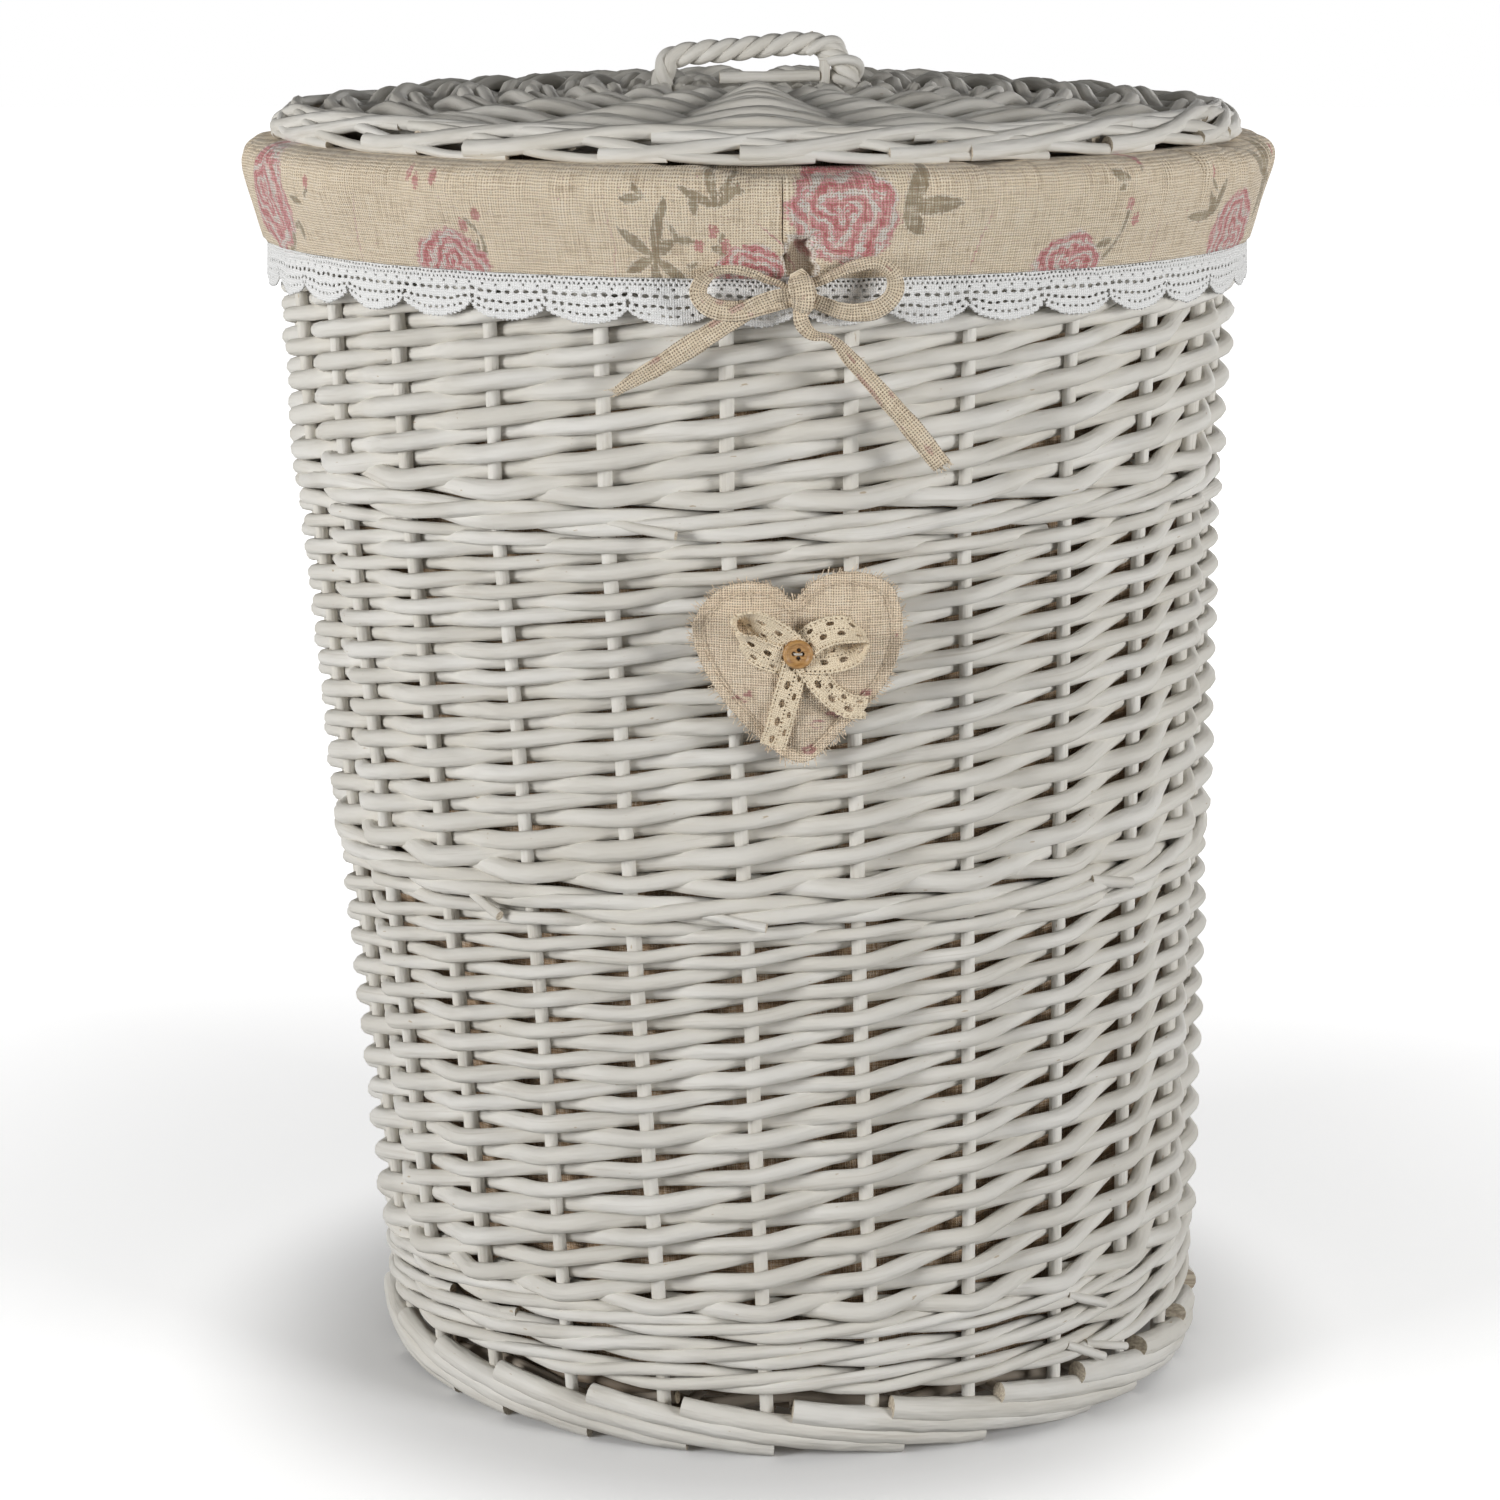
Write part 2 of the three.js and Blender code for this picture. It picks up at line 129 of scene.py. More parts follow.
# Drawstring bow: the middle lines of its tapes, in millimetres, from the knot outwards.
BOW_X = 18 * MM
BOW_Y = -208.8 * MM
BOW_Z = 533 * MM
KNOT_HALF = (6.3, 3.6, 6.2)
TAIL_LEFT = [(14, -210.5, 533), (5, -210.5, 531), (-8, -209, 524), (-24, -207, 513.5), (-42, -204, 502),
             (-52, -201, 496), (-58.5, -199, 491.5)]
TAIL_RIGHT = [(18, -210, 528), (18.5, -210.5, 521.5), (23, -208, 516), (31, -207, 513.5), (40, -206.5, 504.5),
              (50, -206, 493.5), (61, -205.5, 481), (70, -205, 470), (77.5, -204.5, 460.5)]
LOOP_LEFT = [(14, -208, 535), (4, -208, 539), (-7, -208.5, 542.5), (-17, -208, 542.5), (-23.5, -207.5, 537.5),
             (-24, -208, 531.5), (-18, -208.5, 527), (-8, -208.5, 526), (4, -208.5, 528.5), (14, -208, 531)]
LOOP_RIGHT = [(22, -208, 537), (32, -208, 541), (42, -208.5, 545), (51, -208, 545.5), (56.5, -207.5, 540.5),
              (56.5, -208, 533), (50, -208.5, 527), (40, -208.5, 525.5), (30, -208.5, 527.5), (22, -208, 531)]
KNOT_WRAP = [(17.5, -206, 539), (17.5, -210.5, 539.8), (18.2, -214, 536.5), (18.8, -215, 532.5),
             (18.6, -213.8, 528.5), (18.2, -210.5, 526.5), (18, -206, 527)]
TAPES = {
    # name: (route, half widths, turns of its face in degrees, far end, how it lies)
    "tie_tail_left": (
        TAIL_LEFT, [3.6, 4.3, 4.6, 4.6, 4.1, 2.2], [25, 8, 0, -5, 10, 30], "bare", "hanging",
    ),
    "tie_tail_right": (
        TAIL_RIGHT, [3.0, 3.2, 3.6, 4.2, 4.3, 4.2], [-35, 70, 25, 0, 5, -8], "bare", "hanging",
    ),
    "tie_loop_left": (
        LOOP_LEFT, [3.4, 3.2, 3.2, 4.0, 4.3, 4.3, 3.8], [65, 62, 50, 12, 10, 18, 30], "object", "loose",
    ),
    "tie_loop_right": (
        LOOP_RIGHT, [3.2, 3.4, 3.2, 4.0, 4.4, 4.2, 3.6], [62, 66, 52, 16, 8, 14, 30], "object", "loose",
    ),
}

# Heart ornament, in its own plane: millimetres across, up and out from its middle.
HEART_X = 17 * MM
HEART_Y = -198.5 * MM
HEART_Z = 374 * MM
HEART_OUTLINE = [
    (-1.7, 28.3), (-8.5, 33.5), (-17, 36), (-32, 33.5), (-44, 19.5), (-41.5, 2.4), (-32, -14.7),
    (-21.8, -26.8), (-11.0, -36.8), (1.6, -43.2), (12.3, -36.8), (22.5, -25.5), (35.5, -11.3),
    (42, 1), (45, 16.7), (41.5, 32.4), (32, 39), (19, 40.6), (7.0, 36.2),
]
HEART_STEPS = 240
HEART_RINGS = 41
HEART_STITCH_IN = 5.0
HEART_THREADS = 420
RIBBON_LOOP_TURNS = [20, 10, 35, 90, 145, 170, 165]
HEART_RIBBONS = {
    # name: (half width, turns of its face in degrees, route)
    "heart_bow_loop_left": (
        6.9, RIBBON_LOOP_TURNS,
        [(-1, 8, 6), (-9, 15, 8.5), (-18, 21, 9), (-26, 22, 7.6), (-24, 13.5, 6.6), (-14, 6, 6.8),
         (-2, 2.5, 6)],
    ),
    "heart_bow_loop_right": (
        6.6, RIBBON_LOOP_TURNS,
        [(2, 9.5, 6), (10, 15.5, 8.5), (20, 17.5, 9), (29, 13.5, 7.6), (25, 7.5, 6.6), (14, 4.5, 6.8),
         (3, 4.0, 6)],
    ),
    "heart_bow_tail_left": (
        5.8, [10, 0, -12, 8, 0],
        [(0, 3, 6.4), (-2.5, -6, 6.6), (-5.5, -17, 6.2), (-8, -27, 5.2), (-10.5, -35, 4.2)],
    ),
    "heart_bow_tail_right": (
        5.4, [15, 0, 25, 10, -15],
        [(3.5, 3, 6.4), (9, -5, 7.2), (15, -12, 6.8), (22, -16.5, 6.2), (30, -17.5, 5.4)],
    ),
}
HEART_MARKS = [
    # (across, up, size)
    (-24, -14, 6), (-19, -12, 4), (9, -25, 6), (16, -22, 7), (5, -37, 6), (44, 12, 5), (30, -12, 5),
]
BUTTON_X = 0.3
BUTTON_Z = 6.8
BUTTON_OUT = 7.6
BUTTON_HOLE_DEPTH = 1.5
BUTTON_PROFILE = [
    # (radius, height)
    (0.02, 0.0), (4.6, 0.0), (6.2, 0.8), (6.3, 1.7), (5.6, 2.5), (4.7, 2.3), (4.1, 1.7), (2.0, 1.6),
    (0.02, 1.6),
]
BUTTON_HOLES = [(-1.7, 0.2), (0.4, 1.7), (1.8, 0.2), (0.2, -1.7)]

# Camera: found from the basket's own proportions.
CAMERA_AT = (-3 * MM, -1822.8 * MM, 716.1 * MM)
CAMERA_PITCH = 13.146
CAMERA_LENS = 93.49
FLOOR_HALF = 9.0

rng = np.random.default_rng(11)


# ---------------------------------------------------------------- shapes on the oval


def unit(vectors):
    return vectors / np.maximum(np.linalg.norm(vectors, axis=-1, keepdims=True), 1e-12)


def lean(z):
    return LEAN_AT_BASE * np.clip(1 - np.asarray(z) / LEAN_TOP, 0, None)


def oval(theta, half, z, out=0.0):
    """Points on an upright oval of that half-width, moved out along its own normal."""
    theta, half, z, out = np.broadcast_arrays(theta, half, z, out)
    normal = unit(np.stack([DEPTH * np.cos(theta), np.sin(theta)], -1))
    x = half * np.cos(theta) + out * normal[..., 0]
    y = DEPTH * half * np.sin(theta) + out * normal[..., 1]
    return np.stack([x, y, z], -1)


def wall(theta, z, out=0.0):
    """Points on the stakes' own oval, moved out from it."""
    points = oval(theta, STAKE_LINE_BASE + FLARE * np.asarray(z), z, out)
    points[..., 0] += lean(points[..., 2])
    return points


def painted_shade_inside_wall(points):
    """Painted shade: 0 on the outside of the wall, rising to 1 on its inner side, where the rods are drawn
    darker.
    """
    half = np.hypot(points[:, 0] - lean(points[:, 2]), points[:, 1] / DEPTH)
    return smoothstep(0.5 * MM, -5.0 * MM, half - STAKE_LINE_BASE - FLARE * points[:, 2])


def painted_shade_under_lid(points):
    """Painted shade: 0 on top of the lid's weave, rising to 1 below it, where the rods are drawn darker."""
    share = np.hypot(points[:, 0], points[:, 1] / DEPTH) / LID_WEAVE_OUTER
    return smoothstep(1.0 * MM, -6.0 * MM, points[:, 2] - lid_height(share))


def stake_angle(position):
    return (np.asarray(position, float) + 0.5) / STAKES * TURN


def lattice(i, j, seed):
    value = np.sin(i * 127.1 + j * 311.7 + seed * 74.7) * 43758.5453
    return value - np.floor(value)


def noise(x, y=0.0, seed=0):
    """Smooth value noise from -1 to 1."""
    x, y = np.broadcast_arrays(np.asarray(x, float), np.asarray(y, float))
    i, j = np.floor(x), np.floor(y)
    fx, fy = x - i, y - j
    fx = fx * fx * (3 - 2 * fx)
    fy = fy * fy * (3 - 2 * fy)
    low = lattice(i, j, seed) * (1 - fx) + lattice(i + 1, j, seed) * fx
    high = lattice(i, j + 1, seed) * (1 - fx) + lattice(i + 1, j + 1, seed) * fx
    return (low * (1 - fy) + high * fy) * 2 - 1


def ridge(x, middle, width):
    """A bell-shaped rise to 1 at the middle."""
    return np.exp(-(((x - middle) / width) ** 2))


def distances(points):
    """How far along a line each of its points is."""
    return np.concatenate([[0], np.cumsum(np.linalg.norm(np.diff(points, axis=0), axis=1))])


def length_of(points):
    return float(np.linalg.norm(np.diff(points, axis=0), axis=1).sum())


def spread_over(t, values):
    """Values given at even steps, read off at t from 0 to 1."""
    return np.interp(t, np.linspace(0, 1, len(values)), values)


def between(wanted, nodes, values):
    """Rows for the wanted places, read off between the values given at the nodes."""
    return np.stack([np.interp(wanted, nodes, values[:, n]) for n in range(values.shape[1])], -1)


def smoothstep(low, high, x):
    t = np.clip((x - low) / (high - low), 0, 1)
    return t * t * (3 - 2 * t)


def spline(points, count, closed=False):
    """A smooth curve through the points, with about even spacing."""
    points = np.asarray(points, float)
    if closed:
        padded = np.concatenate([points[-1:], points, points[:2]])
    else:
        first, last = 2 * points[0] - points[1], 2 * points[-1] - points[-2]
        padded = np.concatenate([[first], points, [last]])
    spans = len(padded) - 3
    t = np.linspace(0, spans, spans * 24 + 1)
    k = np.minimum(t.astype(int), spans - 1)
    f = (t - k)[:, None]
    a, b, c, d = padded[k], padded[k + 1], padded[k + 2], padded[k + 3]
    fine = 0.5 * (2 * b + (c - a) * f + (2 * a - 5 * b + 4 * c - d) * f**2 + (3 * b - a - 3 * c + d) * f**3)
    length = distances(fine)
    return between(np.linspace(0, length[-1], count), length, fine)


# ---------------------------------------------------------------- meshes


class Bundle:
    """Tubes and patches gathered into one mesh. Every vertex knows its place along the grain."""

    def __init__(self):
        self.points, self.grain, self.tone, self.cut_ends_and_shade = [], [], [], []
        self.quads, self.tris = [], []
        self.count = 0

    def add(self, points, quads, tris, grain, tone, cut_ends_and_shade):
        self.points.append(points)
        self.grain.append(grain)
        self.tone.append(np.broadcast_to(tone, len(points)))
        self.cut_ends_and_shade.append(np.broadcast_to(cut_ends_and_shade, len(points)))
        if len(quads):
            self.quads.append(np.asarray(quads) + self.count)
        if len(tris):
            self.tris.append(np.asarray(tris) + self.count)
        self.count += len(points)

    def tube(self, path, radius, sides=10, tone=None, up=UP):
        """A rod along path."""
        path = np.asarray(path, float)
        n = len(path)
        radius = np.broadcast_to(radius, n)
        tangent = unit(np.gradient(path, axis=0))
        side = unit(np.cross(tangent, up))
        over = np.cross(side, tangent)
        angle = np.arange(sides) / sides * TURN
        ring = np.cos(angle)[:, None] * over[:, None] + np.sin(angle)[:, None] * side[:, None]
        along = distances(path) + rng.uniform(0, 40)
        uneven = 1 + UNEVEN * noise(along[:, None] / UNEVEN_LENGTH, angle[None] * 0.9)
        points = (path[:, None] + (radius[:, None] * uneven)[..., None] * ring).reshape(-1, 3)
        turned = [(radius[:, None] * turn).ravel() for turn in (np.cos(angle), np.sin(angle))]
        grain = np.stack([np.repeat(along, sides), *turned], -1)
        tone = rng.uniform(-1, 1) if tone is None else tone
        self.add(points, grid_quads(n, sides, True).reshape(-1, 4), [], grain, tone, 0.0)
        for end, inward in ((0, 1), (n - 1, -1)):
            self.end_cap(path[end], points[end * sides : (end + 1) * sides], grain[end * sides], tone, inward)

    def end_cap(self, centre, rim, grain, tone, way):
        """Closes a rod with its cut face."""
        sides = len(rim)
        points = np.concatenate([rim, [centre]])
        a = np.arange(sides)
        b = (a + 1) % sides
        tris = np.stack([b, a, np.full(sides, sides)] if way > 0 else [a, b, np.full(sides, sides)], -1)
        spread = np.repeat(np.asarray(grain)[None], sides + 1, 0) + (points - centre) * [0, 1, 1]
        self.add(points, [], tris, spread, tone, 1.0)

    def build(self, name, material, body, nodes=(), slot=None, bare=None):
        """One mesh of all the tubes. The function given last tells from the points how much painted shade
        darkens the rods there.
        """
        points = np.concatenate(self.points)
        quads = np.concatenate(self.quads) if self.quads else np.zeros((0, 4), int)
        tris = np.concatenate(self.tris) if self.tris else np.zeros((0, 3), int)
        obj = mesh_object(name, points, quads, tris, material)
        put_vector(obj, "grain", np.concatenate(self.grain))
        put_float(obj, "tone", np.concatenate(self.tone))
        put_float(obj, "cut_ends_and_shade", np.concatenate(self.cut_ends_and_shade))
        if bare:
            put_float(obj, "bare", bare(points))
        return place(obj, body, nodes)


def willow_piece(bundle, node, end, body="basket", material=None, bare=None):
    """The rods that stand for one CAD node."""
    bundle.build(f"{node}_{end}", material or willow, body, [node], "painted_willow", bare)


def mesh_object(name, points, quads, tris, material):
    mesh = bpy.data.meshes.new(name)
    corners = np.concatenate([np.asarray(quads).ravel(), np.asarray(tris).ravel()]).astype(np.int32)
    sizes = np.concatenate([np.full(len(quads), 4), np.full(len(tris), 3)]).astype(np.int32)
    mesh.vertices.add(len(points))
    mesh.vertices.foreach_set("co", np.asarray(points, np.float32).ravel())
    mesh.loops.add(len(corners))
    mesh.loops.foreach_set("vertex_index", corners)
    mesh.polygons.add(len(sizes))
    mesh.polygons.foreach_set("loop_start", np.concatenate([[0], np.cumsum(sizes)[:-1]]).astype(np.int32))
    mesh.update(calc_edges=True)
    mesh.validate()
    mesh.shade_smooth()
    mesh.materials.append(material)
    return new_object(name, mesh)


def new_object(name, data):
    obj = bpy.data.objects.new(name, data)
    bpy.context.scene.collection.objects.link(obj)
    return obj


def put_vector(obj, name, values):
    attribute = obj.data.attributes.new(name, "FLOAT_VECTOR", "POINT")
    attribute.data.foreach_set("vector", np.asarray(values, np.float32).ravel())


def put_float(obj, name, values):
    attribute = obj.data.attributes.new(name, "FLOAT", "POINT")
    attribute.data.foreach_set("value", np.asarray(values, np.float32).ravel())


def place(obj, body, nodes=()):
    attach(obj, body)
    if nodes:
        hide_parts(*nodes)
    return obj


def grid_quads(rows, columns, around):
    """Corners of the quads between points laid out in rows, one after another."""
    i, j = np.meshgrid(np.arange(rows - 1), np.arange(columns if around else columns - 1), indexing="ij")
    k = (j + 1) % columns
    return np.stack([i * columns + j, i * columns + k, (i + 1) * columns + k, (i + 1) * columns + j], -1)


def grid_object(name, points, material, around=False, keep=None):
    """A patch of quads from points laid out in rows (first index) and columns (second)."""
    quads = grid_quads(*points.shape[:2], around)
    if keep is not None:
        quads = quads[keep]
    return mesh_object(name, points.reshape(-1, 3), quads.reshape(-1, 4), np.zeros((0, 3), int), material)


def thicken(obj, thickness, offset=-1):
    """Gives a sheet its thickness, inwards unless the offset says otherwise."""
    modifier = obj.modifiers.new("thickness", "SOLIDIFY")
    modifier.thickness = thickness
    modifier.offset = offset
    modifier.use_rim = True


# ---------------------------------------------------------------- materials


class Nodes:
    """Short names for the shader nodes of a material or of the world."""

    def __init__(self, owner):
        owner.use_nodes = True
        self.owner = owner
        self.tree = owner.node_tree

    def node(self, kind, inputs=(), **settings):
        made = self.tree.nodes.new(kind)
        for key, value in settings.items():
            setattr(made, key, value)
        for key, value in dict(inputs).items():
            self.feed(made.inputs[key], value)
        return made

    def feed(self, socket, value):
        if isinstance(value, bpy.types.NodeSocket):
            self.tree.links.new(value, socket)
        elif value is not None:
            socket.default_value = value

    def attribute(self, name, output="Fac"):
        return self.node("ShaderNodeAttribute", attribute_name=name).outputs[output]

    def maths(self, operation, a, b=None):
        return self.node("ShaderNodeMath", {0: a, 1: b}, operation=operation).outputs[0]

    def times(self, a, b):
        return self.maths("MULTIPLY", a, b)

    def plus(self, a, b):
        return self.maths("ADD", a, b)

    def noise(self, vector, scale, detail=3.0, roughness=0.55):
        """Noise with this many spots to a metre, one number or three for X, Y and Z."""
        vector = self.scaled(vector, tuple(np.broadcast_to(scale, 3)))
        inputs = {"Vector": vector, "Scale": 1.0, "Detail": detail, "Roughness": roughness}
        return self.node("ShaderNodeTexNoise", inputs).outputs[0]

    def scaled(self, vector, by):
        return self.node("ShaderNodeVectorMath", {0: vector, 1: by}, operation="MULTIPLY").outputs[0]

    def length(self, vector):
        return self.node("ShaderNodeVectorMath", {0: vector}, operation="LENGTH").outputs["Value"]

    def range(self, value, low, high, to_low=0.0, to_high=1.0):
        inputs = {"Value": value, "From Min": low, "From Max": high, "To Min": to_low, "To Max": to_high}
        return self.node("ShaderNodeMapRange", inputs, interpolation_type="SMOOTHSTEP").outputs[0]

    def mix(self, factor, a, b):
        return self.node("ShaderNodeMix", {0: factor, 6: a, 7: b}, data_type="RGBA").outputs[2]

    def cover(self, colour, paint, mask, low, high, amount):
        """Lays paint over a colour where the mask goes from low to high, at most by the amount."""
        return self.mix(self.range(mask, low, high, 0.0, amount), colour, paint)

    def split(self, vector):
        return self.node("ShaderNodeSeparateXYZ", {0: vector}).outputs

    def bump(self, height, distance, strength=1.0, normal=None):
        inputs = {"Height": height, "Distance": distance, "Strength": strength, "Normal": normal}
        return self.node("ShaderNodeBump", inputs).outputs[0]


class Surface(Nodes):
    """The nodes of one material, round its main shader."""

    def __init__(self, name, roughness):
        super().__init__(bpy.data.materials.new(name))
        self.shader = self.tree.nodes["Principled BSDF"]
        self.set("Roughness", roughness)

    def set(self, name, value):
        self.feed(self.shader.inputs[name], value)

    def finish(self, colour, normal=None, roughness=None):
        self.set("Base Color", colour)
        self.set("Normal", normal)
        self.set("Roughness", roughness)
        return self.owner


def rgb(red, green, blue):
    """A colour given as it looks on a screen."""
    srgb = np.array([red, green, blue], float)
    linear = np.where(srgb <= 0.04045, srgb / 12.92, ((srgb + 0.055) / 1.055) ** 2.4)
    return (*[float(v) for v in linear], 1.0)


def painted_willow(name, base, shade):
    """White paint on willow. grain runs along the rod in metres, tone is its shade, cut marks its ends."""
    n = Surface(name, 0.5)
    grain = n.attribute("grain", "Vector")
    tone = n.attribute("tone")
    cut_ends_and_shade = n.attribute("cut_ends_and_shade")
    streaks = n.noise(grain, (14.0, 500.0, 500.0), 4.0, 0.6)
    patches = n.noise(grain, (22.0, 90.0, 90.0), 3.0, 0.5)
    colour = n.mix(n.range(patches, 0.35, 0.72), base, shade)
    colour = n.cover(colour, rgb(0.82, 0.80, 0.755), tone, -1, 1, 0.4)
    colour = n.cover(colour, rgb(0.62, 0.57, 0.50), streaks, 0.55, 0.78, 0.32)
    chips = n.noise(grain, (160.0, 420.0, 420.0), 2.0, 0.5)
    colour = n.cover(colour, rgb(0.68, 0.59, 0.46), chips, 0.73, 0.79, 0.7)
    ends = n.noise(grain, (400.0, 900.0, 900.0), 3.0, 0.6)
    end_colour = n.mix(n.range(ends, 0.35, 0.65), rgb(0.82, 0.77, 0.67), rgb(0.60, 0.52, 0.42))
    colour = n.mix(n.times(cut_ends_and_shade, 0.75), colour, end_colour)
    # Painted shade: rods on the inner side of the wall and below the lid's weave are darkened towards brown.
    colour = n.mix(n.times(n.attribute("bare"), 0.88), colour, rgb(0.30, 0.26, 0.21))
    fine = n.noise(grain, (60.0, 1500.0, 1500.0), 3.0, 0.6)
    lumps = n.noise(grain, (45.0, 160.0, 160.0), 2.0, 0.5)
    normal = n.bump(fine, 0.3 * MM, 0.7)
    normal = n.bump(lumps, 2.2 * MM, 0.7, normal)
    return n.finish(colour, normal, n.range(patches, 0.3, 0.8, 0.58, 0.78))


def weave_bump(n, cloth, pitch):
    """Height of a plain weave: threads a pitch apart, each passing over and under the ones across it."""
    uneven = n.times(n.noise(cloth, 170.0), 3.2)
    x, y, _ = n.split(n.scaled(cloth, (np.pi / pitch,) * 3))
    warp = n.maths("SINE", n.plus(x, uneven))
    weft = n.maths("SINE", n.plus(y, uneven))
    over = n.times(n.times(warp, weft), 0.4)
    warp = n.times(n.maths("ABSOLUTE", warp), n.plus(0.6, over))
    weft = n.times(n.maths("ABSOLUTE", weft), n.maths("SUBTRACT", 0.6, over))
    return n.maths("MAXIMUM", warp, weft)


def linen(name, base, dark, pitch=1.15 * MM, depth=0.5 * MM, shade_between_threads=0.55, stain=0.0, printed=False):
    """Linen. grain is the place on the cloth in metres and tone shows pink marks; painted shade darkens the
    tape's fold, the heart's stitched groove, the inside of the slit and the gaps between threads, and the
    tapes' cut ends are a little darker.
    """
    n = Surface(name, 0.9)
    cloth = n.attribute("grain", "Vector")
    threads = weave_bump(n, cloth, pitch)
    slubs_across = n.noise(cloth, (70.0, 1100.0, 70.0), 3.0, 0.6)
    slubs_down = n.noise(cloth, (1100.0, 70.0, 70.0), 3.0, 0.6)
    slubs = n.times(n.plus(slubs_across, slubs_down), 0.5)
    ragged = n.noise(cloth, 800.0, 2.0)
    colour = base
    if printed:
        colour = printed_colour(n, cloth, ragged, colour)
    if stain:
        pink = n.plus(n.attribute("tone"), n.plus(ragged, -0.5))
        colour = n.cover(colour, rgb(0.70, 0.42, 0.44), pink, 0.35, 0.75, stain)
    colour = n.cover(colour, rgb(0.96, 0.92, 0.85), slubs, 0.48, 0.62, 0.55)
    colour = n.cover(colour, dark, slubs, 0.50, 0.38, 0.45)
    # Painted shade between the threads: the low places of the weave are drawn darker.
    colour = n.cover(colour, dark, threads, 0.62, 0.12, shade_between_threads)
    # Painted shade in the tape's fold, the heart's stitched groove and the inside of the slit; the tapes' cut
    # ends are darker too.
    colour = n.mix(n.times(n.attribute("cut_ends_and_shade"), 0.8), colour, rgb(0.42, 0.34, 0.26))
    normal = n.bump(threads, depth, 0.9)
    wrinkles = n.noise(cloth, 38.0, 3.0, 0.5)
    normal = n.bump(wrinkles, 3.0 * MM, 0.55, normal)
    n.set("Sheen Weight", CLOTH_SHEEN)
    return n.finish(colour, normal)


def printed_colour(n, cloth, ragged, colour):
    """Brushed roses and leaves. bloom is the place within the nearest rose, in its radii, and its number."""
    bloom = n.attribute("bloom", "Vector")
    rough = n.plus(ragged, -0.5)
    x, y, number = n.split(bloom)
    radius = n.length(n.scaled(bloom, (1, 1.1, 0)))
    turn = n.maths("ARCTAN2", y, x)
    uneven = n.plus(n.noise(bloom, (2.2, 2.2, 5.0)), -0.5)
    far = n.plus(radius, n.times(uneven, 0.65))
    lobes = n.maths("SINE", n.plus(n.times(turn, 3.0), number))
    phase = n.plus(n.times(far, 19.0), n.times(lobes, 2.6))
    petals = n.maths("SINE", n.plus(phase, n.times(turn, 2.0)))
    strokes = n.node("ShaderNodeCombineXYZ", {0: n.times(far, 34.0), 1: n.times(turn, 2.4), 2: number})
    strokes = n.plus(n.noise(strokes.outputs[0], 1.0, 3.0, 0.6), -0.5)
    paint = n.plus(n.times(petals, 0.42), n.times(strokes, 2.6))
    paint = n.plus(paint, n.times(rough, 0.8))
    edge = n.plus(far, n.times(rough, 0.35))
    inside = n.range(edge, 1.04, 0.92)
    faded = n.noise(cloth, 160.0, 2.0)
    leaf = n.plus(n.attribute("leaf"), n.times(rough, 1.5))
    green = n.mix(n.range(faded, 0.35, 0.65), rgb(0.46, 0.41, 0.29), rgb(0.60, 0.55, 0.43))
    colour = n.cover(colour, rgb(0.86, 0.84, 0.80), leaf, 0.02, 0.30, 0.5)
    colour = n.cover(colour, green, leaf, 0.36, 0.64, 0.8)
    colour = n.mix(n.times(inside, 0.9), colour, rgb(0.87, 0.85, 0.84))
    pink = n.times(inside, n.range(paint, -0.30, -0.10))
    colour = n.mix(n.times(pink, 0.92), colour, rgb(0.85, 0.54, 0.57))
    deep = n.times(inside, n.range(paint, 0.15, 0.55))
    colour = n.mix(n.times(deep, 0.9), colour, rgb(0.73, 0.31, 0.37))
    colour = n.cover(colour, rgb(0.93, 0.91, 0.88), n.attribute("frayed"), 0.25, 0.7, 0.9)
    bud = n.plus(n.attribute("bud"), n.times(rough, 2.4))
    return n.cover(colour, rgb(0.78, 0.47, 0.49), bud, 0.40, 0.62, 0.85)


def crochet(name, base, dark, pitch):
    """Cotton crochet: rows of knobbly stitches a pitch apart, with painted shade between the stitches."""
    n = Surface(name, 0.88)
    grain = n.attribute("grain", "Vector")
    stitches = weave_bump(n, grain, pitch)
    fibres = n.noise(grain, 1500.0)
    # Painted shade: the low places between stitches are drawn darker.
    colour = n.mix(n.range(stitches, 0.1, 0.45), dark, base)
    colour = n.mix(n.range(fibres, 0.35, 0.6, 0.3, 0.0), colour, dark)
    normal = n.bump(stitches, 0.45 * MM, 0.7)
    normal = n.bump(fibres, 0.12 * MM, 0.5, normal)
    n.set("Sheen Weight", CLOTH_SHEEN)
    return n.finish(colour, normal)


def turned_wood():
    n = Surface("button_wood", 0.35)
    at = n.node("ShaderNodeTexCoord").outputs["Object"]
    rings = n.noise(at, (260.0, 260.0, 1400.0), 4.0, 0.6)
    colour = n.mix(n.range(rings, 0.3, 0.7), rgb(0.74, 0.57, 0.34), rgb(0.60, 0.43, 0.24))
    # Painted shade: the holes are drawn nearly black, by their depth.
    colour = n.mix(n.attribute("cut_ends_and_shade"), colour, rgb(0.16, 0.10, 0.06))
    return n.finish(colour, n.bump(rings, 0.2 * MM, 0.5))


# ---------------------------------------------------------------- wall


def bent_over_stakes(nodes, corners, softness=0.15):
    """A path of straight strokes between corner points given at positions `nodes`, its corners rounded."""
    u = np.arange(nodes[0], nodes[-1], 1 / STEPS_PER_GAP)
    path = between(u, nodes, corners)
    reach = int(3 * softness * STEPS_PER_GAP) + 1
    kernel = np.exp(-0.5 * (np.arange(-reach, reach + 1) / (softness * STEPS_PER_GAP)) ** 2)
    kernel /= kernel.sum()
    before = path[0] - np.arange(reach, 0, -1)[:, None] * (path[1] - path[0])
    after = path[-1] + np.arange(1, reach + 1)[:, None] * (path[-1] - path[-2])
    padded = np.concatenate([before, path, after])
    return u, np.stack([np.convolve(padded[:, axis], kernel, "valid") for axis in range(3)], -1)


